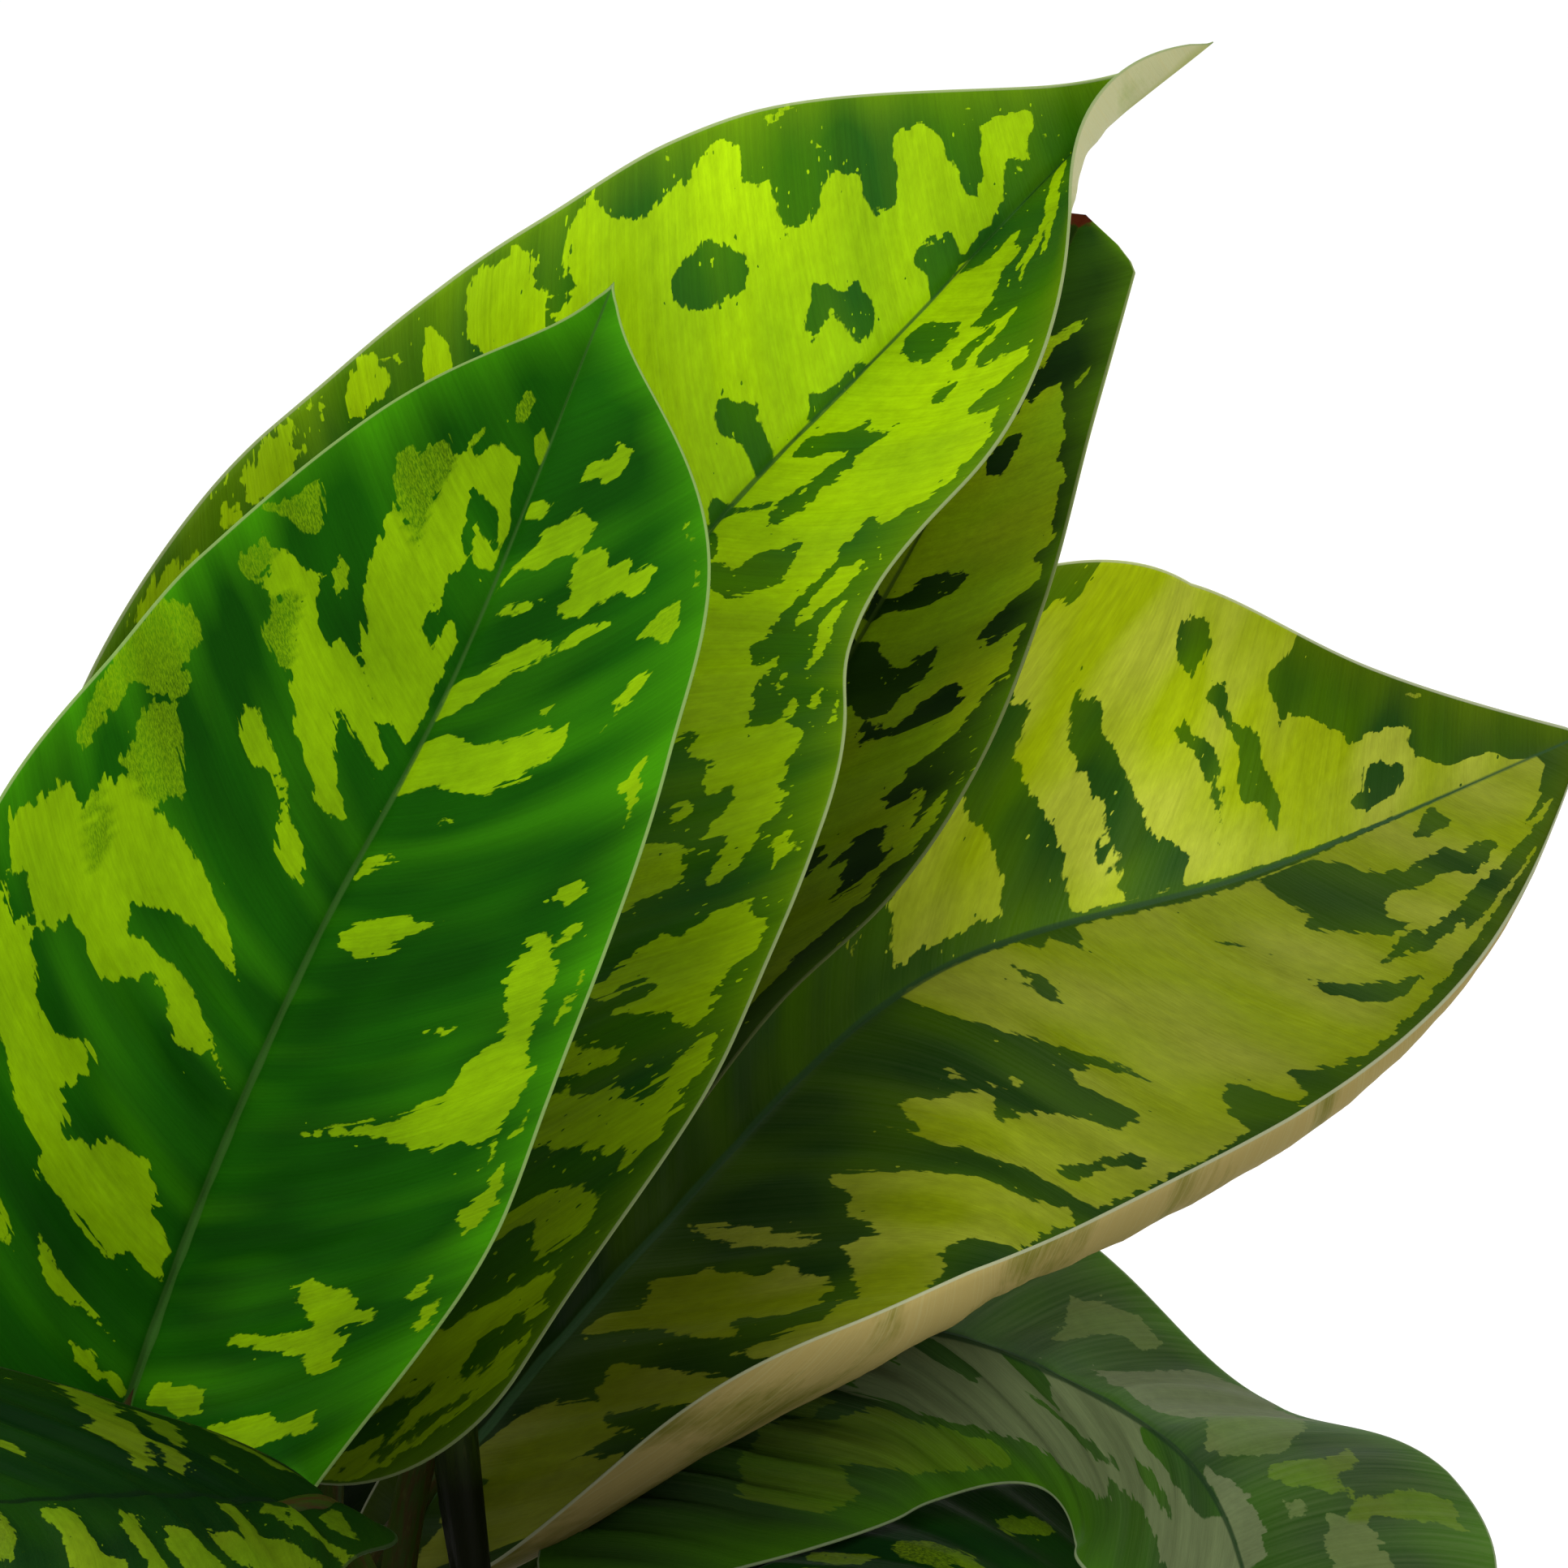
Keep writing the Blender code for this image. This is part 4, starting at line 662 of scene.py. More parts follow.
lowRightMarks = [
    [2, (0, 0.78), (-0.05, 0.78), (-0.12, 0.77), (-0.14, 0.74), (-0.1, 0.7), (-0.05, 0.66), (-0.01, 0.67)],
    [1, (-0.28, 0.715), (-0.45, 0.735), (-0.55, 0.74), (-0.5, 0.72), (-0.68, 0.705), (-0.72, 0.685),
     (-0.55, 0.7), (-0.4, 0.693), (-0.25, 0.7)],
    [1.5, (-0.14, 0.66), (-0.25, 0.67), (-0.45, 0.678), (-0.6, 0.66), (-0.72, 0.64), (-0.85, 0.62),
     (-0.95, 0.6), (-0.6, 0.6), (-0.4, 0.6), (-0.25, 0.62), (-0.12, 0.645)],
    [1, (-0.5, 0.77), (-0.65, 0.76), (-0.9, 0.775), (-0.92, 0.745), (-0.8, 0.735), (-0.7, 0.74),
     (-0.55, 0.745), (-0.45, 0.76)],
    [1.6, (-0.36, 0.82), (-0.34, 0.77), (-0.4, 0.75), (-0.55, 0.765), (-0.6, 0.82)],
    [1.6, (-0.24, 0.745), (-0.32, 0.745), (-0.3, 0.735), (-0.24, 0.73)],
    [2, (-0.16, 0.58), (-0.3, 0.6), (-0.95, 0.6), (-1, 0.52), (-0.85, 0.5), (-0.68, 0.505), (-0.5, 0.505),
     (-0.4, 0.5), (-0.3, 0.49), (-0.2, 0.51), (-0.14, 0.55)],
    [0, (-0.35, 0.47), (-0.45, 0.5), (-0.6, 0.505), (-0.68, 0.48), (-0.66, 0.46), (-0.5, 0.455),
     (-0.33, 0.455)],
    [1.5, (-0.3, 0.45), (-0.5, 0.455), (-0.65, 0.46), (-0.7, 0.475), (-0.82, 0.47), (-0.84, 0.43),
     (-0.7, 0.4), (-0.58, 0.42), (-0.45, 0.435), (-0.3, 0.44)],
    [2, (0, 0.8), (0.2, 0.73), (0.4, 0.65), (0.5, 0.61), (0.46, 0.52), (0.5, 0.45), (0.62, 0.42),
     (0.7, 0.38), (0.72, 0.33), (0.66, 0.32), (0.55, 0.22), (0.45, 0.14), (0.3, 0.13), (0.15, 0.135),
     (0.05, 0.15), (0, 0.2)],
    [0, (0, 0.72), (0.08, 0.69), (0.16, 0.66), (0.17, 0.6), (0.13, 0.56), (0.03, 0.575), (0, 0.6)],
    [0, (0.24, 0.56), (0.28, 0.58), (0.32, 0.6), (0.34, 0.56), (0.32, 0.53), (0.25, 0.53)],
    [0, (0.02, 0.46), (0.1, 0.455), (0.2, 0.435), (0.3, 0.43), (0.22, 0.415), (0.1, 0.41), (0.02, 0.41)],
    [0, (0.22, 0.385), (0.34, 0.42), (0.38, 0.475), (0.42, 0.47), (0.47, 0.43), (0.42, 0.405), (0.3, 0.39)],
    [0, (0.04, 0.335), (0.2, 0.34), (0.27, 0.305), (0.15, 0.29), (0.06, 0.295)],
    [0, (0.08, 0.255), (0.14, 0.25), (0.18, 0.235), (0.1, 0.235)],
    [0, (0.12, 0.18), (0.22, 0.155), (0.26, 0.14), (0.16, 0.15)],
    [1, (0.38, 0.11), (0.5, 0.12), (0.6, 0.2), (0.72, 0.24), (0.85, 0.22), (0.85, 0.1), (0.8, 0),
     (0.62, -0.05), (0.45, -0.04), (0.38, 0.02)],
    [0.8, (0.3, 0.04), (0.42, 0.06), (0.6, -0.05), (0.8, -0.12), (0.85, -0.2), (0.65, -0.2), (0.45, -0.1),
     (0.32, -0.02)],
    [0.6, (0.15, 0.1), (0.3, 0.1), (0.32, 0.05), (0.24, 0.04), (0.18, 0.06)],
]
lowLeftMarks = [
    [1, (-0.1, 0.42), (-0.09, 0.46), (-0.14, 0.475), (-0.24, 0.47), (-0.32, 0.462), (-0.7, 0.465),
     (-0.7, 0.39), (-0.55, 0.385), (-0.5, 0.395), (-0.44, 0.415), (-0.3, 0.42), (-0.14, 0.41)],
    [1, (-0.15, 0.33), (-0.18, 0.35), (-0.28, 0.37), (-0.38, 0.372), (-0.45, 0.365), (-0.7, 0.358),
     (-0.7, 0.32), (-0.52, 0.33), (-0.38, 0.33), (-0.26, 0.325), (-0.18, 0.31)],
    [1, (-0.28, 0.29), (-0.4, 0.305), (-0.52, 0.305), (-0.7, 0.3), (-0.75, 0.23), (-0.55, 0.245),
     (-0.45, 0.26), (-0.36, 0.275)],
    [1, (-0.32, 0.215), (-0.45, 0.22), (-0.58, 0.215), (-0.8, 0.19), (-0.85, 0.15), (-0.8, 0.12),
     (-0.7, 0.13), (-0.6, 0.17), (-0.42, 0.205)],
    [1, (-0.14, 0.15), (-0.15, 0.175), (-0.25, 0.185), (-0.3, 0.175), (-0.6, 0.175), (-0.75, 0.15),
     (-0.95, 0.07), (-0.8, 0.085), (-0.65, 0.11), (-0.5, 0.135), (-0.3, 0.142)],
    [0.9, (-0.12, 0.1), (-0.25, 0.12), (-0.35, 0.112), (-0.52, 0.105), (-0.6, 0.095), (-0.4, 0.095),
     (-0.25, 0.085)],
    [1, (-0.12, 0.065), (-0.3, 0.08), (-0.5, 0.092), (-0.6, 0.085), (-0.8, 0.062), (-1, 0.04), (-1, 0.03),
     (-0.8, 0.05), (-0.62, 0.065), (-0.45, 0.058), (-0.2, 0.055)],
    [0.8, (-0.28, 0.01), (-0.35, 0.035), (-0.52, 0.042), (-0.72, 0.035), (-0.85, 0.022), (-0.6, 0.018),
     (-0.45, 0.008)],
    [0.8, (-0.1, 0.53), (-0.3, 0.56), (-0.6, 0.6), (-0.7, 0.56), (-0.4, 0.53)],
    [0.8, (-0.15, 0.68), (-0.4, 0.72), (-0.7, 0.7), (-0.5, 0.65)],
    [1, (0.16, 0.2), (0.22, 0.2), (0.35, 0.17), (0.5, 0.145), (0.62, 0.115), (0.75, 0.085), (0.9, 0.05),
     (1, 0.02), (0.95, 0.02), (0.8, 0.055), (0.62, 0.085), (0.5, 0.11), (0.35, 0.14), (0.22, 0.175)],
    [0.9, (0.22, 0.148), (0.35, 0.128), (0.5, 0.103), (0.5, 0.09), (0.35, 0.108), (0.22, 0.138)],
    [0.9, (0.48, 0.092), (0.7, 0.058), (0.95, 0.018), (0.9, 0.01), (0.65, 0.048)],
    [0.6, (0.3, 0.078), (0.45, 0.058), (0.62, 0.035), (0.45, 0.043)],
    [0.9, (0.6, 0.005), (0.8, 0.003), (1, -0.015), (0.9, -0.022), (0.7, -0.01)],
    [0.9, (0.22, 0.33), (0.3, 0.33), (0.42, 0.29), (0.33, 0.3)],
    [0.9, (0.5, 0.4), (0.8, 0.42), (0.9, 0.36), (0.6, 0.35)],
]
# seat: its stalk's place on the crown; meets: the way its stalk arrives; sheen: painted sheen, how much pale
# silver reflection is painted into the colour from the left margin to the right one; pinch: how much its
# sides draw in before the tip; strewn: seed, count and tone of patches that nothing fixes
leaves = dict(
    front=dict(
        spine=[(-40, 0, 212), (-27, -2, 248), (-13, -2, 280), (5, 4, 314), (24, 16, 360)],
        across=(0.9, 0, -0.4),
        left=half(
            (25, 34, 41, 44, 44, 40, 35, 22, 0), (20, 15, 12, 10, 5), light=(0.75, 0.95, 1.12, 1.1, 1.05, 1),
        ),
        right=half(
            (26, 34, 41, 44, 42, 39, 34, 26, 0), (45, 42, 40, 38, 30), light=(0.9, 0.95, 1.05, 1.1, 1.2),
        ),
        seat=17, look="deep", pinch=0.45, quilt=(0.55, 0.085), cells=(150, 56), marks=frontMarks,
    ),
    tall=dict(
        spine=[
            (-27, 14, 215), (-11, 19, 252), (6, 26, 283), (23, 30, 308), (37, 33, 327), (59, 33, 350),
            (82, 29, 375), (98, 22, 389),
        ],
        across=(0.8, 0, -0.6),
        left=half(
            (37, 49, 55, 55, 50, 43, 34, 8, 0), (15, 10, 5, 5, 5, 5),
            light=(0.35, 0.42, 0.62, 0.95, 1.1, 1.05, 0.9),
        ),
        right=half(
            (36, 44, 50, 48, 40, 32, 34, 22, 0), (45, 45, 48, 52, 62, 80, 150),
            light=(0.3, 0.45, 0.65, 0.87, 0.88, 0.8, 0.8),
        ),
        seat=5, look="lime", quilt=(0.7, 0.07), cells=(160, 60), marks=tallMarks,
    ),
    shaded=dict(
        spine=[(3, 38, 218), (24, 42, 254), (44, 43, 291), (64, 44, 326), (83, 44, 364)],
        across=(0.8, 0, -0.6),
        left=half((24, 30, 34, 34, 33, 28, 21, 13, 3), (0,)),
        right=half(
            (14, 15, 21, 26, 35, 36, 30, 20, 12), (66, 66, 62, 60, 52), light=(0.45, 0.6, 1, 1.4, 2, 4),
        ),
        scarred=True, seat=1, meets=(0.2, -0.1, 1), look="olive", quilt=(0.6, 0.08), cells=(140, 48),
        marks=shadedMarks,
    ),
    right=dict(
        spine=[(-9, 46, 186), (27, 43, 230), (62, 34, 267), (106, 20, 285), (144, 2, 306)],
        across=(0.6, 0, -0.8),
        left=half(
            (7, 11, 20, 32, 43, 47, 38, 18, 0), (-45, -45, -40, -30, -5),
            light=(0.15, 0.25, 0.55, 1.05, 1.2, 0.75, 0.65),
        ),
        right=half(
            (6, 32, 52, 62, 60, 57, 45, 26, 0), (38, 47, 37, 32, 11), (114, 154, 130, 131, 61), 4, 1.0,
            light=(0.25, 0.38, 0.62, 0.72, 0.55, 0.52, 0.6),
        ),
        seat=3, meets=(-0.9, -0.2, 1), look="yellow", sheen=(0, 0, 0, 0.05, 0.2, 0.2, 0.1, 0.2, 0.3),
        quilt=(0.5, 0.075), cells=(170, 60), marks=rightMarks,
    ),
    lowRight=dict(
        spine=[
            (28, 40, 206), (45, 29, 218), (62, 13, 227), (81, -5, 225), (96, -22, 218), (102, -39, 204),
            (100, -54, 187),
        ],
        across=(-0.35, -0.65, -0.65),
        left=half(
            (15, 28, 35, 38, 40, 41, 38, 24, 0), (12, -4, -41, -56, -43, -26, -24), lean=-0.5,
            light=(0.8, 1, 1, 1),
        ),
        right=half(
            (36, 31, 26, 21, 14, 17, 19, 14, 0), (23, -8, -35, -36, 0, 18, 6), lean=2.5,
            light=(0.6, 1, 1, 1),
        ),
        sheen=(0.35, 0.35, 0.3, 0.3, 0.1, 0.2, 0.2, 0.1, 0), seat=13, meets=(-0.7, 0.1, 1.2), lobe=22 * mm,
        look="grey", quilt=(0.8, 0.09), cells=(140, 52), marks=lowRightMarks,
    ),
    lowLeft=dict(
        spine=[(-11, -30, 216), (-30, -56, 225), (-46, -80, 231), (-64, -104, 237), (-81, -122, 232)],
        across=(-0.7, 0.7, 0),
        left=half((12, 18, 28, 34, 36, 32, 24, 13, 0), (-5, -10, -10, -10, -10)),
        right=half((12, 20, 30, 37, 36, 32, 24, 13, 0), (22, 20, 18, 15, 10)),
        seat=4, look="night", quilt=(0.7, 0.09), cells=(120, 44), marks=lowLeftMarks,
    ),
    lowFront=dict(
        spine=[(14, 2, 182), (40, 10, 196), (66, 17, 205), (92, 16, 205), (114, 8, 196)],
        across=(0.1, -1, 0),
        left=half((8, 16, 26, 30, 29, 24, 17, 9, 0), (0,)),
        right=half(partWidth(0.75), (-15,)),
        seat=7, look="night", quilt=(0.6, 0.09), cells=(110, 40), strewn=(31, 26, 0.75),
    ),
    left=dict(
        spine=[(-34, 34, 190), (-62, 42, 214), (-94, 46, 228), (-126, 46, 226), (-152, 42, 210)],
        across=(0, 1, 0),
        left=half(usual),
        right=half((8, 17, 34, 42, 40, 35, 27, 15, 0)),
        seat=9, look="deep", strewn=(2, 30, 1),
    ),
    backLeft=dict(
        spine=[(-34, 50, 212), (-52, 66, 240), (-73, 81, 261), (-95, 92, 274), (-115, 102, 274)],
        across=(0.9, 0.3, 0.1),
        left=half(partWidth(0.8), (10,)),
        right=half(partWidth(0.55), (10,)),
        seat=2, look="lime", strewn=(3, 44, 1),
    ),
    back=dict(
        spine=[(-14, 68, 206), (-12, 88, 244), (-8, 106, 278), (-2, 122, 302), (6, 138, 316)],
        across=(1, 0, 0),
        left=half(usual),
        right=half(usual),
        seat=6, meets=(0.15, 0, 1), look="yellow", strewn=(4, 40, 1),
    ),
    backRight=dict(
        spine=[(26, 78, 206), (52, 98, 232), (80, 116, 250), (104, 132, 258), (126, 146, 256)],
        across=(0.55, -0.75, 0),
        left=half(usual),
        right=half(usual),
        seat=8, look="lime", strewn=(5, 44, 1),
    ),
    lowBackLeft=dict(
        spine=[(-26, 50, 180), (-52, 76, 198), (-80, 100, 204), (-104, 120, 196), (-124, 136, 176)],
        across=(0.7, 0.7, 0),
        left=half(usual),
        right=half((8, 18, 32, 40, 40, 35, 27, 15, 0)),
        seat=14, look="deep", strewn=(6, 30, 1),
    ),
    lowBack=dict(
        spine=[(-12, 64, 170), (-18, 96, 188), (-20, 128, 192), (-20, 156, 180), (-20, 178, 158)],
        across=(1, 0, 0),
        left=half(usual),
        right=half(usual),
        seat=11, look="olive", strewn=(7, 34, 1),
    ),
    lowBackRight=dict(
        spine=[(20, 60, 168), (50, 80, 180), (80, 98, 174), (106, 116, 156), (126, 130, 130)],
        across=(0.57, -0.8, 0),
        left=half((8, 20, 32, 38, 36, 31, 24, 13, 0)),
        right=half(partWidth(0.9)),
        seat=16, look="deep", strewn=(8, 30, 1),
    ),
    downLeft=dict(
        spine=[(-28, -12, 172), (-62, -20, 180), (-96, -32, 174), (-120, -44, 154), (-138, -56, 128)],
        across=(-0.2, 1, 0),
        left=half(partWidth(0.85)),
        right=half((8, 12, 18, 28, 33, 30, 23, 13, 0)),
        seat=12, look="deep", strewn=(9, 30, 1),
    ),
    downFrontLeft=dict(
        spine=[(-12, -24, 178), (-26, -56, 186), (-38, -88, 180), (-48, -116, 162), (-54, -138, 136)],
        across=(-0.9, 0.4, 0),
        left=half(partWidth(0.8)),
        right=half(partWidth(0.8)),
        seat=15, look="lime", strewn=(10, 40, 1),
    ),
    downFront=dict(
        spine=[(10, -24, 170), (24, -56, 178), (38, -86, 170), (48, -112, 150), (54, -130, 124)],
        across=(-1, -0.3, 0),
        left=half(partWidth(0.8)),
        right=half(partWidth(0.8)),
        seat=10, look="deep", strewn=(11, 30, 1),
    ),
    downRight=dict(
        spine=[(28, 0, 172), (60, -2, 182), (92, -6, 176), (118, -12, 156), (136, -18, 130)],
        across=(0, -1, 0),
        left=half(partWidth(0.85)),
        right=half(partWidth(0.85)),
        seat=18, look="olive", strewn=(12, 34, 1),
    ),
)


def spineFrame(leaf, t):
    # points on the midrib, with the ways forward, across to the right half, and up from the blade
    spine = np.array(leaf["spine"]) * mm
    forward = unit(along(spine, np.clip(t + 0.001, 0, 1)) - along(spine, np.clip(t - 0.001, 0, 1)))
    across = np.array(leaf["across"], float)
    across = unit(across - (forward @ across)[:, None] * forward)
    return along(spine, t), forward, across, np.cross(across, forward)


def baseShape(t):
    return np.sqrt(1 - (1 - np.clip(t / blade["baseRound"], 0, 1)) ** 2)


def tipShape(leaf, t):
    # rounded at the very tip; a pinch draws the sides in before it
    pinch = leaf.get("pinch", 0) * np.exp(-(((1 - t) / blade["pinchLong"]) ** 2))
    return np.sqrt(np.clip((1 - t) / blade["tipRound"], 0, 1)) * (1 - pinch)


def halfSurface(leaf, side, sign, t, v):
    # One half of the blade, from the midrib (v 0) to its margin (v 1). A strip across the half climbs at
    # lift + curl v^power degrees, and its place is the running sum of that slope's cosine and sine.
    spine, forward, across, upward = (part[:, None] for part in spineFrame(leaf, t))
    widths = np.maximum(along(side["widths"], t)[:, 0], 0) * mm
    width = (widths * baseShape(t) * tipShape(leaf, t))[:, None]
    slope = np.radians(along(side["lift"], t) + along(side["curl"], t) * v[None] ** side["power"])
    step = np.diff(v)[None]
    out, over = (
        np.concatenate([np.zeros((len(t), 1)), np.cumsum((s[:, 1:] + s[:, :-1]) / 2 * step, 1)], 1) * width
        for s in (np.cos(slope), np.sin(slope))
    )
    lobe = leaf.get("lobe", blade["lobeBack"]) * baseShape(t) * np.clip(1 - t / blade["lobeLong"], 0, 1) ** 2
    middle = spine + sign * out[..., None] * across + over[..., None] * upward
    middle = middle - (lobe[:, None] * v[None] ** blade["lobePower"])[..., None] * forward
    distance = width * v[None]
    return middle, distance, width - distance


def patchDepth(x, y, corners):
    # distance from each point to the outline of a patch, positive inside it; a point is inside when a line
    # from it crosses the outline an odd number of times
    nearest, inside = np.full(x.shape, 1e6), np.zeros(x.shape, bool)
    for (startX, startY), (stopX, stopY) in zip(corners, np.roll(corners, -1, 0)):
        runX, runY = stopX - startX, stopY - startY
        f = np.clip(((x - startX) * runX + (y - startY) * runY) / (runX**2 + runY**2), 0, 1)
        nearest = np.minimum(nearest, (x - startX - f * runX) ** 2 + (y - startY - f * runY) ** 2)
        if runY:
            inside ^= ((startY > y) != (stopY > y)) & (x < startX + (y - startY) / runY * runX)
    return np.where(inside, 1, -1) * np.sqrt(nearest)


def patchField(vein, share, marks, length, width):
    # how deep each point lies in the lime patches, in mm and negative outside them, and the tone of the
    # patch that it lies deepest in
    x, y = share * width / mm, vein * length / mm
    depth, hole, tone = np.full(x.shape, -30.0), np.full(x.shape, -30.0), np.ones(x.shape)
    for patchTone, *corners in marks:
        here = patchDepth(x, y, np.array(corners) * (width / mm, length / mm))
        if patchTone:
            tone = np.where(here > depth, patchTone, tone)
            depth = np.maximum(depth, here)
        else:
            hole = np.maximum(hole, here)
    return np.minimum(depth, -hole), tone


strewn = dict(
    # the lowest and highest of each random draw, as shares; ragged: how far each of the corners stands out
    vein=(-0.15, 0.92), start=(0.02, 0.75), wide=(0.008, 0.036), long=(0.15, 0.5), ragged=(0.7, 1.25),
    corners=9,
)


def strewnMarks(seed, count, tone):
    # patches for a leaf whose markings nothing fixes: ragged slivers that follow the veins
    draw = np.random.default_rng(seed)
    marks = []
    for index in range(count):
        side = 1 if index % 2 else -1
        vein, start, wide = (draw.uniform(*strewn[name]) for name in ("vein", "start", "wide"))
        stop = min(start + draw.uniform(*strewn["long"]), 1.0)
        turn = np.arange(strewn["corners"]) / strewn["corners"] * 2 * np.pi
        size = draw.uniform(*strewn["ragged"], strewn["corners"])
        across = (start + stop) / 2 + (stop - start) / 2 * size * np.cos(turn)
        patchTone = tone * draw.choice([1, 1, 1, 0.5])  # one in four is a half tone
        marks.append([patchTone, *zip(side * across, vein + wide * size * np.sin(turn))])
    return marks


def bladeFinish(name, leaf, length, seed):
    look, made = looks[leaf["look"]], leafFinish
    shader = Shader(name, Roughness=made["roughness"], Specular_IOR_Level=look["shine"])
    vein, reach, edge = shader.attribute("veinPlace")  # mm along the midrib, out from it, in from the margin
    patch, tone, slope = shader.attribute("marking")
    # the third attribute carries 1 below, then light, painted light and shade on the colours, and sheen,
    # painted sheen
    under, light, sheen = shader.attribute("underSideAndPaintedLight")
    jag, grain, dust, cloud, streak, speck, glow = (
        shader.noise(shader.vector(vein / fine, reach / wide, seed + shift), detail, rough)
        for fine, wide, shift, detail, rough in leafNoises.values()
    )
    # teeth shift each narrow strip between two veins outward or inward; jag roughens every edge a little
    strip = shader.node("Math", dict(operation="SNAP"), {0: vein, 1: made["stripWide"]})
    teethFine, teethWide = made["toothSize"]
    teeth = shader.noise(shader.vector(strip / teethFine, reach / teethWide, seed), 1)
    reach = abs(reach)
    away = (reach / made["calm"]).clipped() * 0.8 + 0.2
    cut = patch + (teeth - 0.5) * slope * away * made["toothLong"] + (jag - 0.5) * (away * made["jagLong"])
    cut = cut + speck.above(1 - look["specks"], made["speckGain"]) * made["speckLong"]
    cut = cut - ((look["specks"] - 0.02 - speck) * made["speckGain"]).clipped() * made["pitLong"]
    # a half tone lets the dark through in grains of dust
    half = (2 - tone * 2).clipped()
    stipple = dust.sharpened(6) * 0.5 + 0.25
    lit = (cut * 5 + 0.5).clipped() * (1 - half + half * stipple)
    hue = cloud.sharpened(4)
    rim = (1 - edge / made["rimWide"]).clipped()
    dark = shader.mix(hue, look["dark"], look["cool"])
    # the paler green near the margin and in glow's bands is partly painted light and shade on the quilt
    dark = shader.mix((rim * rim * 0.8 + (glow - 0.48) * look["glow"]).clipped(), dark, look["fresh"])
    lime = shader.mix(hue, look["lime"], look["warm"])
    # tones above 1 mix in painted sheen, a reflection painted into the colour
    lime = shader.mix((tone - 1).clipped(), lime, made["paintedSilverSheen"])
    lime = shader.scaled(lime, (jag - 0.5) * 0.5 + 1)
    colour = shader.mix(lit, dark, lime)
    # painted sheen: silver streaks of reflection mixed in where sheen is high
    colour = shader.mix((sheen * (streak * 1.4 - 0.1)).clipped(), colour, made["paintedSilverSheen"])
    # brightness that varies at random, and in glow's bands as painted light and shade
    unevenAndLit = (streak - 0.5) * 0.3 + 1 + (grain - 0.5) * 0.16 + (glow - 0.5) * 0.45
    # painted light and shade: every colour is scaled by light
    colour = shader.scaled(colour, unevenAndLit * light)
    ribWide = (1 - vein / (length / mm)).clipped() * made["ribFoot"] + made["ribTip"]
    colour = shader.mix(((ribWide - reach) * 4 + 0.5).clipped() * 0.85, colour, look["rib"])
    # the underside is blotched where the upper side is lime, with a pale keel
    blotch = ((cloud - 0.5) * 6 + (jag - 0.5) * 1.5 + lit * 0.5).clipped()
    below = shader.mix(blotch, *look["below"])
    below = shader.mix(streak.above(0.5, 3) * 0.5, below, made["belowStreak"])
    below = shader.mix(((made["belowRibWide"] - reach) * 0.8).clipped(), below, made["belowRib"])
    # the underside and the margin line take the same painted light and shade
    colour = shader.mix(under, colour, shader.scaled(below, light * 0.95 + 0.1))
    line = shader.scaled(look["margin"], light * 0.8 + 0.2)
    colour = shader.mix(((made["lineWide"] - edge) * 8).clipped() * 0.8, colour, line)
    if leaf.get("scarred"):
        fromTip = vein - length / mm + made["scarLong"] + (jag - 0.5) * made["scarJag"]
        colour = shader.mix((fromTip * 1.5).clipped(), colour, made["scar"])
    shader.feed(Base_Color=colour, Roughness=under * 0.2 + (grain - 0.5) * 0.1 + made["roughness"])
    shader.bump(streak * 0.5 + grain * 0.25 + teeth * 0.3, made["bump"], made["bumpHigh"])
    return shader


def acrossBlade(left, right):
    # from the left margin over the midrib to the right margin
    return np.concatenate([left[:, :0:-1], right], 1)


def quiltHeight(leaf, t, share, vein):
    # the blade swells between its veins: two waves along it, faded at the midrib, the margin and the tip
    tall, spacing = leaf.get("quilt", blade["quilt"])
    swell = np.sin(np.pi * np.abs(share) ** 0.75) ** 0.8 * np.clip(1.15 - t, 0, 1)[:, None]
    turn = 2 * np.pi * vein / spacing
    low, pace, shift = blade["ripple"]
    return tall * mm * swell * (np.cos(turn) + low * np.cos(turn * pace + shift))


def shellFaces(rows, width):
    # the upper sheet, the lower one, and at each margin two strips that meet on the rounded rim
    count, i = rows * width, np.arange(rows - 1)
    faces = [sheetFaces(rows, width), sheetFaces(rows, width, count, True)]
    for column, rim in ((0, 0), (width - 1, 1)):
        top, bottom, rimLine = i * width + column, count + i * width + column, 2 * count + i * 2 + rim
        for first, second, step, other in ((top, rimLine, width, 2), (rimLine, bottom, 2, width)):
            quads = np.stack([first, first + step, second + other, second], -1)
            faces.append(quads[:, ::-1] if rim else quads)
    return np.concatenate(faces)


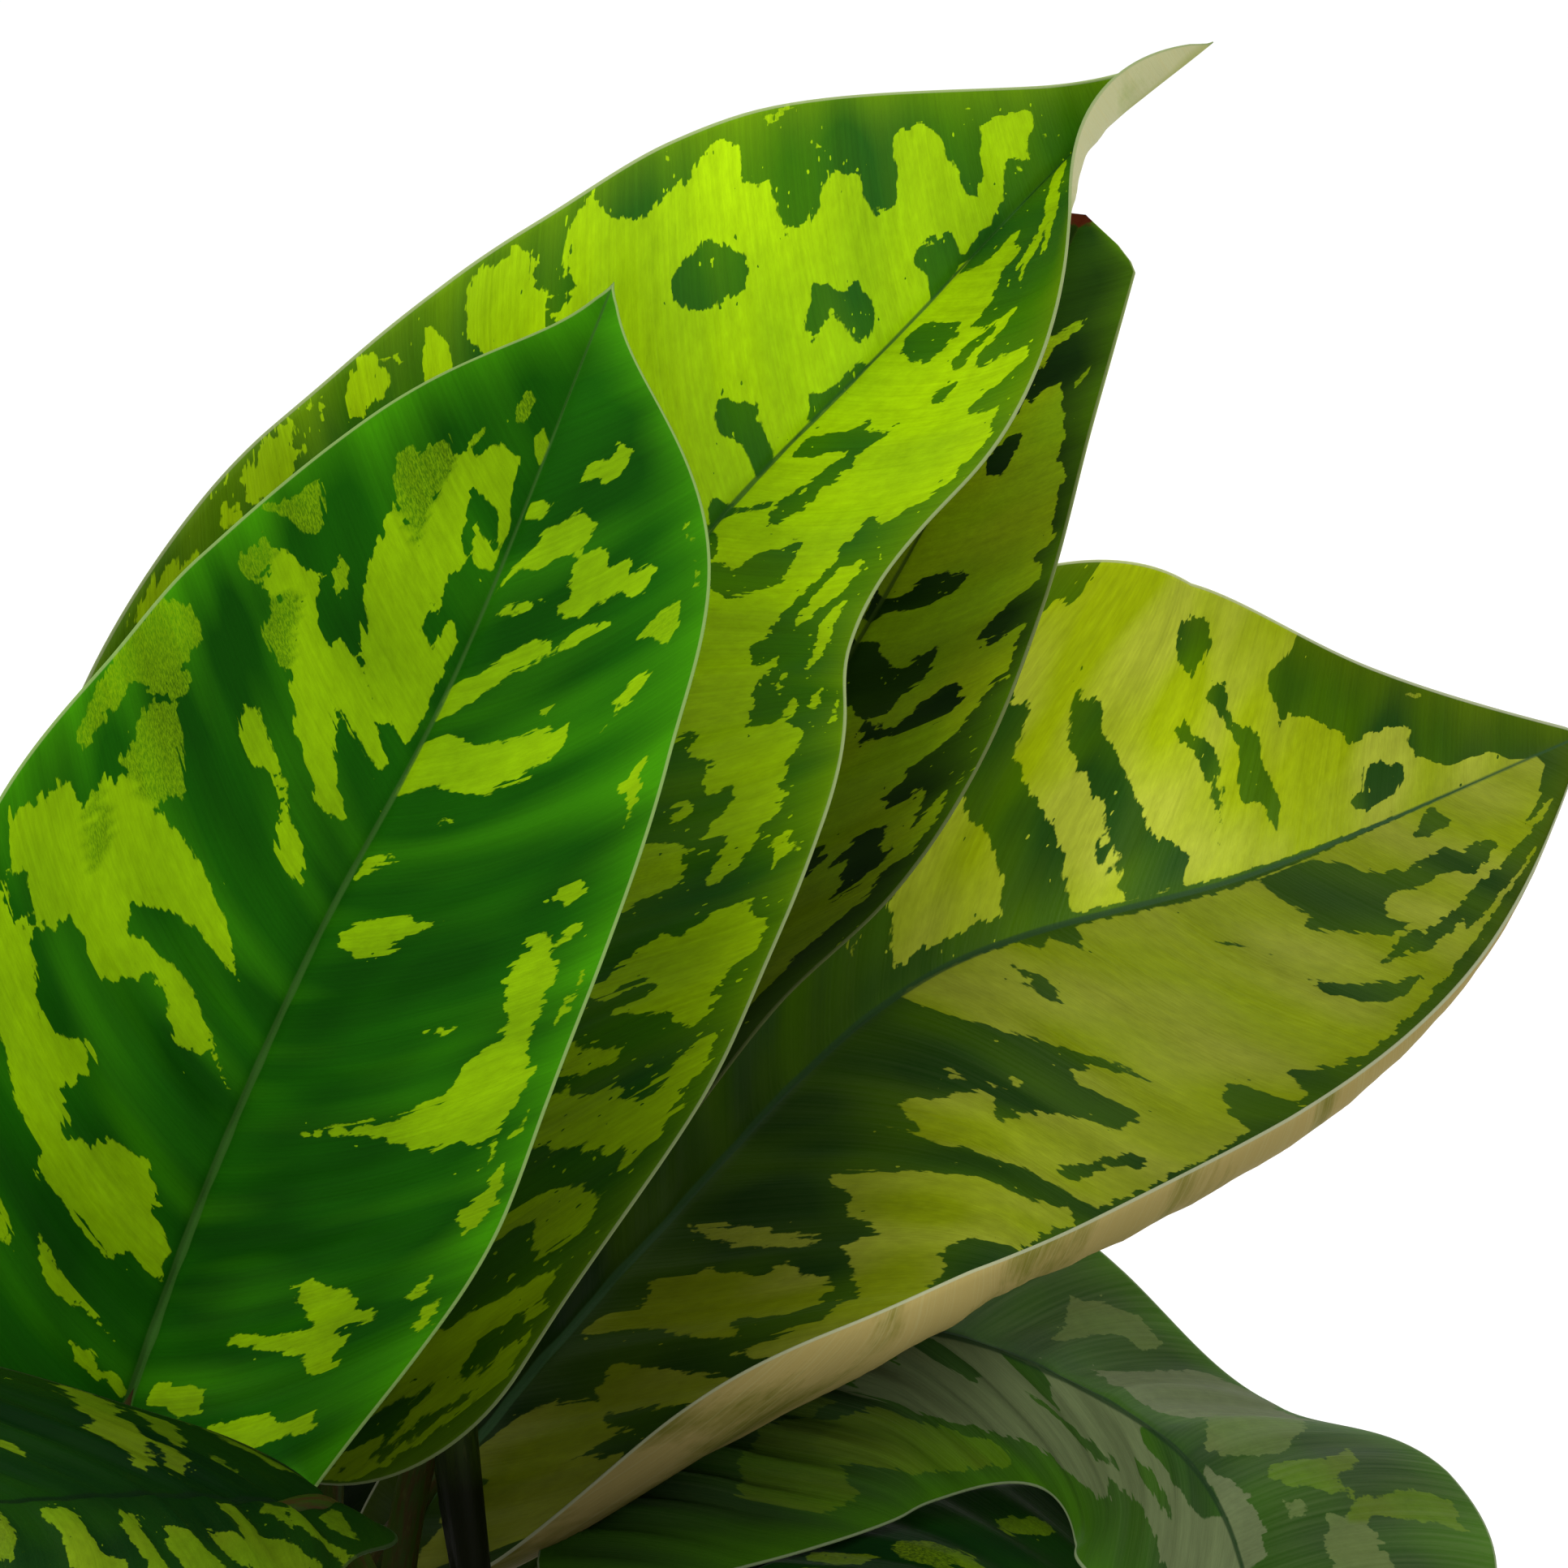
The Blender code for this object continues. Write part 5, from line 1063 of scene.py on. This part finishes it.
def makeBlade(name, leaf, seed):
    rows, columns = leaf.get("cells", blade["cells"])
    even = np.linspace(0, 1, rows)
    t = (0.5 - 0.5 * np.cos(np.pi * even)) * blade["rowCrowding"] + even * (1 - blade["rowCrowding"])
    v = np.linspace(0, 1, columns) ** blade["columnPower"]
    midrib = along(np.array(leaf["spine"]) * mm, np.linspace(0, 1, 200))
    length = np.linalg.norm(np.diff(midrib, axis=0), axis=1).sum()
    left, right = (halfSurface(leaf, leaf[side], sign, t, v) for side, sign in (("left", -1), ("right", 1)))
    middle, reach, edge = (acrossBlade(*pair) for pair in zip(left, right))
    share = np.concatenate([-v[:0:-1], v])[None].repeat(rows, 0)
    widest = np.where(share < 0, left[1].max(), right[1].max())
    lean = np.where(share < 0, leaf["left"]["lean"], leaf["right"]["lean"])
    vein = t[:, None] - (lean * reach + blade["veinBend"] * reach**2 / widest) / length
    marks = leaf["marks"] if "marks" in leaf else strewnMarks(*leaf["strewn"])
    depth, tone = patchField(vein, share, marks, length, widest.mean())
    slope = np.clip(np.gradient(depth, axis=1) / np.gradient(share * widest.mean() / mm, axis=1), -1, 1)
    # the two sheets stand off the middle along its normal
    normal = np.cross(np.gradient(middle, axis=1), np.gradient(middle, axis=0))
    normal[0], normal[-1] = normal[1], normal[-2]
    normal = unit(normal)
    middle = middle + quiltHeight(leaf, t, share, vein)[..., None] * normal
    thick = blade["thickness"] + (blade["margin"] - blade["thickness"]) * np.abs(share) ** 4
    thin = blade["tipThin"] + (1 - blade["tipThin"]) * np.clip((1 - t) * blade["tipGain"], 0, 1)
    thick = thick * thin[:, None]
    fall = np.clip(1 - t, 0, 1)[:, None]
    groove = blade["groove"] * fall ** blade["grooveFade"] * np.exp(-((reach / blade["grooveWide"]) ** 2))
    keel = blade["keel"] * fall ** blade["keelFade"] * np.exp(-((reach / blade["keelWide"]) ** 2))
    keel = keel * np.clip(t * blade["keelGain"], 0, 1)[:, None]
    top = middle + (thick / 2 - groove)[..., None] * normal
    bottom = middle - (thick / 2 + keel)[..., None] * normal
    outward = unit(np.stack([top[:, 0] - top[:, 1], top[:, -1] - top[:, -2]], 1) + 1e-9)
    rim = (top[:, [0, -1]] + bottom[:, [0, -1]]) / 2 + blade["rimOut"] * outward
    points = np.concatenate([part.reshape(-1, 3) for part in (top, bottom, rim)])
    # what the finish reads at each point of the top, the bottom and the rim
    # light is painted light and shade for each half, sheen is painted sheen across the blade
    light = np.where(share < 0, along(leaf["left"]["light"], t), along(leaf["right"]["light"], t))
    sheen = along(leaf.get("sheen", (0,)), (share[0] + 1) / 2)[:, 0][None].repeat(rows, 0)
    carried = dict(
        veinPlace=(vein * length / mm, np.sign(share) * reach / mm, edge / mm),
        marking=(depth, tone, slope),
        underSideAndPaintedLight=(np.zeros(share.shape), light, sheen),
    )
    for mark, layers in carried.items():
        sheet = np.stack(layers, -1)
        below = sheet + (1, 0, 0) if mark == "underSideAndPaintedLight" else sheet
        carried[mark] = np.concatenate([part.reshape(-1, 3) for part in (sheet, below, sheet[:, [0, -1]])])
    title = pieceName("blade", name)
    shader = bladeFinish(title, leaf, length, seed * leafFinish["seedStep"])
    faces = shellFaces(rows, 2 * columns - 1)
    return addPiece(title, points, faces, shader, [nodeName("blade", name)], carried)


for number, (name, leaf) in enumerate(leaves.items()):
    makeBlade(name, leaf, number)
print("blades built:", len(leaves))

stalk = dict(
    foot=3.1 * mm, top=2.1 * mm, footSwell=0.9 * mm, swellLong=0.09,  # radii, and a share of the length
    taper=1.25, endThin=0.3, endGain=9,
    lean=0.25, rise=0.45, meet=0.35,  # handles of its curve, as shares of its reach
    short=2.4 * mm, sunk=3.5 * mm,  # gap before the blade's base, and depth in the crown
    under=0.10, drop=1.6 * mm, handle=4 * mm,  # where it ends under the midrib
    rings=56, sunkRings=4, endRings=11, around=28, seedStep=5.3,
    # dim and shade: painted shade, the foot darkened to the deep shade inside the plant
    dim=30,  # mm of its foot that are as dark as the crown's shade
    # its own green, brown and pale colours, kept dark as painted shade from the leaves above
    colours=((0.018, 0.033, 0.003), (0.028, 0.020, 0.004), (0.035, 0.042, 0.008)),
    shade=(0.004, 0.005, 0.001),
)
crown = dict(
    y=12 * mm, radius=24 * mm, foot=101.3 * mm, top=109.3 * mm, around=160, rings=60,
    straight=0.55, climb=0.62,  # the shares of its profile with a straight side, and that gain height
    scar=0.5 * mm, swell=1.1 * mm, shrink=0.8 * mm, even=8 * mm,  # even: no scars so near its middle
    seatHeight=110.5 * mm, seatSpread=4.6 * mm, goldenAngle=np.radians(137.508),  # where stalks stand on it
    colours=((0.105, 0.070, 0.030), (0.130, 0.135, 0.040), (0.040, 0.024, 0.012)),
)


def seatPlace(seat):
    # seats follow a sunflower's spiral: radius grows with the square root of the number
    radius = crown["seatSpread"] * np.sqrt(seat + 0.5)
    angle = seat * crown["goldenAngle"]
    return np.array([radius * np.cos(angle), crown["y"] + radius * np.sin(angle), crown["seatHeight"]])


def bezier(ends, handles, t):
    a, b, c, d = ends[0], ends[0] + handles[0], ends[1] - handles[1], ends[1]
    t = t[:, None]
    return (1 - t) ** 3 * a + 3 * (1 - t) ** 2 * t * b + 3 * (1 - t) * t**2 * c + t**3 * d


steady = (0.31, 0.95, 0.02)  # a way that no stalk runs along


def addTube(name, path, radii, around, shader, nodes):
    # A profile carried along a path: each ring stands square to it, and the steady direction keeps the rings
    # from twisting. radii is (rings,) or (rings, around). Both ends close in a pole.
    forward = unit(np.gradient(path, axis=0))
    side = unit(np.cross(forward, steady))
    other = np.cross(forward, side)
    angle = 2 * np.pi * np.arange(around) / around
    radii = np.asarray(radii).reshape(len(path), -1)
    ring = np.cos(angle)[None, :, None] * side[:, None] + np.sin(angle)[None, :, None] * other[:, None]
    points = path[:, None] + radii[..., None] * ring
    points[0], points[-1] = path[0], path[-1]
    run = np.concatenate([[0], np.cumsum(np.linalg.norm(np.diff(path, axis=0), axis=1))])
    place = np.stack(np.broadcast_arrays(np.cos(angle)[None], np.sin(angle)[None], run[:, None] / mm), -1)
    faces = sheetFaces(len(path), around, closed=True)
    carried = dict(stalkPlace=place.reshape(-1, 3))
    return addPiece(name, points.reshape(-1, 3), faces, shader, nodes, carried)


def stalkFinish(name, seed, colours, dim):
    # green and brown streaks along it with paler flecks, dark as painted shade, and darker still toward its
    # foot as painted shade
    green, brown, pale = colours
    shader = Shader(name, Roughness=0.45, Specular_IOR_Level=0.04)
    x, y, run = shader.attribute("stalkPlace")
    streak = shader.noise(shader.vector(x * 2.2, y * 2.2, run / 9 + seed), 3, 0.6)
    fleck = shader.noise(shader.vector(x * 5, y * 5, run / 2.5 + seed), 2)
    share = ((streak - 0.5) * 7 + (fleck - 0.5) * 2 + 0.45).clipped()
    colour = shader.mix(share, green, brown)
    colour = shader.mix(fleck.above(0.58, 8) * 0.6, colour, pale)
    # painted shade: the foot fades to the shade colour
    colour = shader.mix(((run - dim) / 60).clipped(), stalk["shade"], colour)
    shader.feed(Base_Color=colour, Roughness=(streak - 0.5) * 0.3 + 0.42)
    shader.bump(streak + fleck * 0.4, 0.3, 0.3 * mm)
    return shader


def makeStalk(name, leaf, seed):
    foot = seatPlace(leaf["seat"])
    base, forward, *_ = (part[0] for part in spineFrame(leaf, np.zeros(1)))
    meets = unit(forward + np.array(leaf.get("meets", (0, 0, 1)), float))
    reach = np.linalg.norm(base - foot)
    top = base - meets * stalk["short"]
    lean = np.array([*stalk["lean"] * (base - foot)[:2], stalk["rise"] * reach])
    path = bezier((foot, top), (lean, stalk["meet"] * reach * meets), np.linspace(0, 1, stalk["rings"]))
    # below the seat it goes down into the crown, and above it runs on under the midrib
    deep = np.linspace(1, 0, stalk["sunkRings"] + 1)[:-1, None]
    downward = path[0] + deep * (-unit(lean)) * stalk["sunk"]
    end, endForward, _, endUpward = (part[0] for part in spineFrame(leaf, np.array([stalk["under"]])))
    handles = stalk["handle"] * meets, stalk["handle"] * endForward
    steps = np.linspace(0, 1, stalk["endRings"] + 1)
    onward = bezier((top, end - endUpward * stalk["drop"]), handles, steps)[1:]
    path = np.concatenate([downward, path, onward])
    share = np.linspace(0, 1, len(path))
    radii = stalk["foot"] + (stalk["top"] - stalk["foot"]) * np.clip(share * stalk["taper"], 0, 1)
    radii = radii * np.clip((1 - share) * stalk["endGain"], stalk["endThin"], 1) ** 0.5
    radii = radii + stalk["footSwell"] * np.exp(-((share / stalk["swellLong"]) ** 2))
    title = pieceName("stalk", name)
    shader = stalkFinish(title, seed * stalk["seedStep"], stalk["colours"], stalk["dim"])
    return addTube(title, path, radii, stalk["around"], shader, [nodeName("stalk", name)])


for number, (name, leaf) in enumerate(leaves.items()):
    makeStalk(name, leaf, number)
print("stalks built:", len(leaves))

newLeaf = dict(
    path=[(9, 17, 145), (6, 17, 188), (2, 22, 226), (6, 26, 258)],
    radii=(3.0, 2.6, 2.4, 3.2, 0.7), seam=0.55 * mm, seamFrom=0.35, seamGain=4, turns=1.6,
    rings=120, around=48, seed=3.0,
    # dim: painted shade, as on the stalks, darkening the roll's foot
    dim=95,  # mm of its foot that are as dark as the crown's shade
    colours=((0.100, 0.200, 0.008), (0.050, 0.110, 0.006), (0.200, 0.270, 0.030)),
)


def makeNewLeaf():
    # a tube whose radius steps at the wrapped edge, which climbs round the roll
    stations = np.concatenate([[seatPlace(0)], np.array(newLeaf["path"]) * mm])
    t = np.linspace(0, 1, newLeaf["rings"])
    path, radii = along(stations, t), along(newLeaf["radii"], t)[:, 0] * mm
    angle = np.arange(newLeaf["around"]) / newLeaf["around"]
    wrap = (angle[None] + newLeaf["turns"] * t[:, None]) % 1
    seam = newLeaf["seam"] * np.clip((t - newLeaf["seamFrom"]) * newLeaf["seamGain"], 0, 1)[:, None]
    radii = radii[:, None] + seam * (wrap - 0.5)
    shader = stalkFinish("newLeafRoll", newLeaf["seed"], newLeaf["colours"], newLeaf["dim"])
    return addTube("newLeafRoll", path, radii, newLeaf["around"], shader, ["new_leaf_roll"])


makeNewLeaf()
print("new leaf built")


def lathe(profile, around, centre=(0, 0)):
    # a profile of (radius, height) turned about a vertical axis, bottom pole first
    profile = np.array(profile)
    angle = 2 * np.pi * np.arange(around) / around
    x = centre[0] + profile[:, :1] * np.cos(angle)
    y = centre[1] + profile[:, :1] * np.sin(angle)
    z = np.repeat(profile[:, 1:], around, 1)
    return np.stack([x, y, z], -1), angle


def addLathed(name, points, shader, nodes):
    faces = sheetFaces(*points.shape[:2], closed=True)
    return addPiece(name, points.reshape(-1, 3), faces, shader, nodes)


def crownFinish():
    base, scar, bark = crown["colours"]
    shader = Shader("crown", Roughness=0.8)
    spot = shader.spot()
    x, y, z = shader.split(spot)
    rings = shader.noise(shader.vector(x / 6, y / 6, z / 0.9), 3)
    fleck = shader.noise(spot / 1.6, 4, 0.6)
    colour = shader.mix(rings.sharpened(5), base, scar)
    colour = shader.mix(fleck.above(0.52, 9) * 0.7, colour, bark)
    shader.feed(Base_Color=colour, Roughness=0.70 + fleck * 0.25)
    shader.bump(rings * 0.7 + fleck * 0.6, 0.7, 0.6 * mm)
    return shader


def makeCrown():
    # a low knob: a rounded profile with scar rings, swollen and pinched round its sides
    rise, straight = np.linspace(0, 1, crown["rings"]), crown["straight"]
    shoulder = np.sqrt(np.clip(1 - ((rise - straight) / (1 - straight)) ** 2, 0, 1))
    radius = crown["radius"] * np.where(rise < straight, 1, shoulder)
    height = crown["foot"] + (crown["top"] - crown["foot"]) * np.clip(rise / crown["climb"], 0, 1) ** 0.9
    profile = np.concatenate([[[0, crown["foot"]]], np.stack([radius, height], 1), [[0, crown["top"]]]])
    points, angle = lathe(profile, crown["around"], (0, crown["y"]))
    level, turnX, turnY = profile[:, 1:] / mm, np.cos(angle)[None], np.sin(angle)[None]
    scar = crown["scar"] * np.sin(level * 4.2 + 2 * np.sin(3 * angle)[None])
    swell = crown["swell"] * softNoise(turnX * 30 + 40, turnY * 30 + level, 6, 3)
    push = (scar + swell - crown["shrink"]) * np.clip(profile[:, :1] / crown["even"], 0, 1)
    points[..., 0] += push * turnX
    points[..., 1] += push * turnY
    return addLathed("crownKnob", points, crownFinish(), ["crown"])


makeCrown()

pot = dict(
    height=112 * mm, topRadius=62.5 * mm, footRadius=45 * mm, wall=3 * mm, floor=4 * mm,
    rimHeight=16 * mm, rimOut=3 * mm, rimRound=1.5 * mm, footRound=2 * mm, lipRound=0.8 * mm,
    ease=0.4 * mm,  # between a rounded edge and the straight wall
    drainCount=6, drainRadius=4 * mm, drainCircle=29 * mm, drainSides=32, around=192,
    colours=((0.40, 0.38, 0.35), (0.44, 0.42, 0.39), (0.24, 0.21, 0.18)),
    sharp=40,  # degrees: edges that turn more stay sharp
)
soil = dict(
    edge=98 * mm, top=101 * mm, flat=44 * mm, gap=0.3 * mm, around=240, rings=110,
    lumps=((0.9, 7, 1), (0.8, 3.1, 2), (0.55, 1.4, 4)),  # height and size in mm, seed
    lumpHeight=0.8, lumpSink=0.3, byWall=2 * mm,  # lumps grow over this width from the wall
    hollow=22 * mm, byCrown=6 * mm,  # and over this one outside the hollow, where the crown stands
    colours=((0.012, 0.008, 0.005), (0.055, 0.036, 0.022), (0.12, 0.08, 0.045), (0.40, 0.37, 0.32)),
)


def wallRadius(height):
    return pot["footRadius"] + (pot["topRadius"] - pot["rimOut"] - pot["footRadius"]) * height / pot["height"]


def arc(centre, radius, start, end, steps=6):
    angles = np.radians(np.linspace(start, end, steps + 1))
    return np.stack([centre[0] + radius * np.cos(angles), centre[1] + radius * np.sin(angles)], 1)


def soilFinish():
    wet, dry, straw, grit = soil["colours"]
    shader = Shader("soil", Roughness=0.95, Specular_IOR_Level=0.2)
    spot = shader.spot()
    crumb = shader.noise(spot / 2.4, 5, 0.65)
    fibre = shader.noise(spot / 0.7, 3)
    grain = shader.node("TexVoronoi", {}, {"Vector": spot / 3.4, "Scale": 1.0})
    colour = shader.mix(crumb.sharpened(5), wet, dry)
    colour = shader.mix(fibre.above(0.6, 9) * 0.6, colour, straw)
    colour = shader.mix(((0.16 - grain) * 14).clipped() * crumb.above(0.5, 9), colour, grit)
    shader.feed(Base_Color=colour, Roughness=0.82 + fibre * 0.2)
    shader.bump(crumb + fibre * 0.4, 0.9, 0.9 * mm)
    return shader


def makeSoil():
    # a lathed plug that rises a little from the wall to its flat middle, with lumps of three sizes on top
    floor = pot["floor"] + soil["gap"]
    wall = wallRadius(soil["edge"]) - pot["wall"] - soil["gap"]
    radius = np.linspace(wall, 0, soil["rings"])
    slope = (soil["edge"] - soil["top"]) * (radius - soil["flat"]) / (wall - soil["flat"])
    height = np.where(radius > soil["flat"], soil["top"] + slope, soil["top"])
    bottom = [(0, floor), (wallRadius(floor) - pot["wall"] - soil["gap"], floor)]
    profile = np.concatenate([bottom, np.stack([radius, height], 1)])
    points, _ = lathe(profile, soil["around"])
    x, y = points[..., 0] / mm + 200, points[..., 1] / mm + 200
    lumps = sum(tall * softNoise(x, y, size, seed) for tall, size, seed in soil["lumps"])
    hold = np.zeros((len(profile), 1))
    hold[2:, 0] = np.clip((wall - radius) / soil["byWall"], 0, 1)
    fromCrown = np.hypot(points[..., 0], points[..., 1] - crown["y"])
    hollow = np.clip((fromCrown - soil["hollow"]) / soil["byCrown"], 0, 1)
    points[..., 2] += mm * (lumps * soil["lumpHeight"] - soil["lumpSink"]) * hold * hollow
    return addLathed("soilBed", points, soilFinish(), ["soil"])


makeSoil()


def potFinish():
    clay, worn, dust = pot["colours"]
    shader = Shader("pot", Roughness=0.5, Specular_IOR_Level=0.4)
    spot = shader.spot()
    x, y, z = shader.split(spot)
    grain = shader.noise(spot / 0.5, 2)
    flow = shader.noise(shader.vector(x / 30, y / 30, z / 9), 2)
    scuff = shader.noise(shader.vector(x / 3, y / 3, z / 0.8), 4, 0.7)
    low = (1 - z / 9).clipped()  # dust and scuffs gather by the foot
    colour = shader.mix(flow.sharpened(3), clay, worn)
    colour = shader.mix(scuff.above(0.62, 12) * (low * 0.7 + 0.08), colour, dust)
    shader.feed(Base_Color=colour, Roughness=0.46 + (grain - 0.5) * 0.2 + (flow - 0.5) * 0.15)
    shader.bump(grain + scuff * 0.3, 0.25, 0.12 * mm)
    return shader


def potProfile():
    # (radius, height) from the middle of the foot, up the outside, over the rim and down to the floor inside
    foot, rim, lip = pot["footRound"], pot["rimRound"], pot["lipRound"]
    top, rimFrom, rimIn = pot["height"], pot["height"] - pot["rimHeight"], pot["topRadius"] - pot["rimRound"]
    insideTop, insideFloor = wallRadius(top) - pot["wall"], wallRadius(pot["floor"]) - pot["wall"]
    return np.concatenate([
        [(0, 0)],
        arc((pot["footRadius"] - foot, foot), foot, -90, 0),
        np.linspace((pot["footRadius"], foot + pot["ease"]), (wallRadius(rimFrom), rimFrom), 12),
        arc((rimIn, rimFrom + rim), rim, -90, 0),
        arc((rimIn, top - rim), rim, 0, 90),
        arc((insideTop + lip, top - lip), lip, 90, 180),
        np.linspace((insideTop, top - lip - pot["ease"]), (insideFloor, pot["floor"]), 10),
        [(0, pot["floor"])],
    ])


def drainCutters():
    cutters = bmesh.new()
    for angle in 2 * np.pi * np.arange(pot["drainCount"]) / pot["drainCount"]:
        made = bmesh.ops.create_cone(
            cutters, cap_ends=True, segments=pot["drainSides"], radius1=pot["drainRadius"],
            radius2=pot["drainRadius"], depth=3 * pot["floor"],
        )
        place = pot["drainCircle"] * np.cos(angle), pot["drainCircle"] * np.sin(angle), pot["floor"] / 2
        bmesh.ops.translate(cutters, verts=made["verts"], vec=Vector(place))
    mesh = bpy.data.meshes.new("drains")
    cutters.to_mesh(mesh)
    cutters.free()
    drains = bpy.data.objects.new("drains", mesh)
    bpy.context.scene.collection.objects.link(drains)
    return drains


def makePot():
    points, _ = lathe(potProfile(), pot["around"])
    piece = addLathed("potShell", points, potFinish(), ["pot"])
    drains = drainCutters()
    cut = piece.modifiers.new("drains", "BOOLEAN")
    cut.operation, cut.solver, cut.object = "DIFFERENCE", "EXACT", drains
    bpy.context.view_layer.update()
    holed = bpy.data.meshes.new_from_object(piece.evaluated_get(bpy.context.evaluated_depsgraph_get()))
    piece.modifiers.clear()
    piece.data = holed
    bpy.data.objects.remove(drains)
    holed.shade_smooth()
    edges = piece.modifiers.new("edges", "EDGE_SPLIT")
    edges.split_angle = np.radians(pot["sharp"])
    return piece


makePot()
print("crown, soil and pot built")

stage = dict(
    floorSize=14.0, floorDrop=0.5 * mm, floorColour=(0.93, 0.93, 0.93), sky=(1.0, 1.0, 1.0), skyPower=1.08,
)
lamps = dict(
    key=dict(place=(-1.1, -1.2, 1.9), size=1.3, power=14, colour=(1.0, 0.99, 0.96)),
    fill=dict(place=(1.8, -1.6, 0.9), size=1.6, power=2, colour=(0.96, 0.98, 1.0)),
    back=dict(place=(0.3, 1.6, 1.7), size=1.2, power=6, colour=(1.0, 1.0, 0.98)),
)


def addStage():
    mesh = bpy.data.meshes.new("floor")
    reach = stage["floorSize"] / 2
    floorCorners = [(-reach, -reach, 0), (reach, -reach, 0), (reach, reach, 0), (-reach, reach, 0)]
    mesh.from_pydata(floorCorners, [], [(0, 1, 2, 3)])
    floor = bpy.data.objects.new("floor", mesh)
    bpy.context.scene.collection.objects.link(floor)
    floor.location.z = -stage["floorDrop"]
    shader = Shader("floor", Roughness=0.9, Base_Color=stage["floorColour"], Specular_IOR_Level=0.1)
    mesh.materials.append(shader.material)
    floor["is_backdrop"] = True
    world = bpy.data.worlds.new("studio")
    bpy.context.scene.world = world
    world.use_nodes = True
    sky = world.node_tree.nodes["Background"]
    sky.inputs["Color"].default_value = (*stage["sky"], 1)
    sky.inputs["Strength"].default_value = stage["skyPower"]
    for name, lamp in lamps.items():
        light = bpy.data.lights.new(name, "AREA")
        light.shape, light.size = "SQUARE", lamp["size"]
        light.energy, light.color = lamp["power"], lamp["colour"]
        thing = bpy.data.objects.new(name, light)
        bpy.context.scene.collection.objects.link(thing)
        thing.location = lamp["place"]
        aim = Vector(view["target"]) - thing.location
        thing.rotation_euler = aim.to_track_quat("-Z", "Y").to_euler()
    bpy.context.scene.view_settings.view_transform = "Standard"


addStage()
print("stage set")

corners = lambda box: [[float(number) for number in corner] for corner in box]
dict(cad=corners(cadBox), visual=corners(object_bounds()))
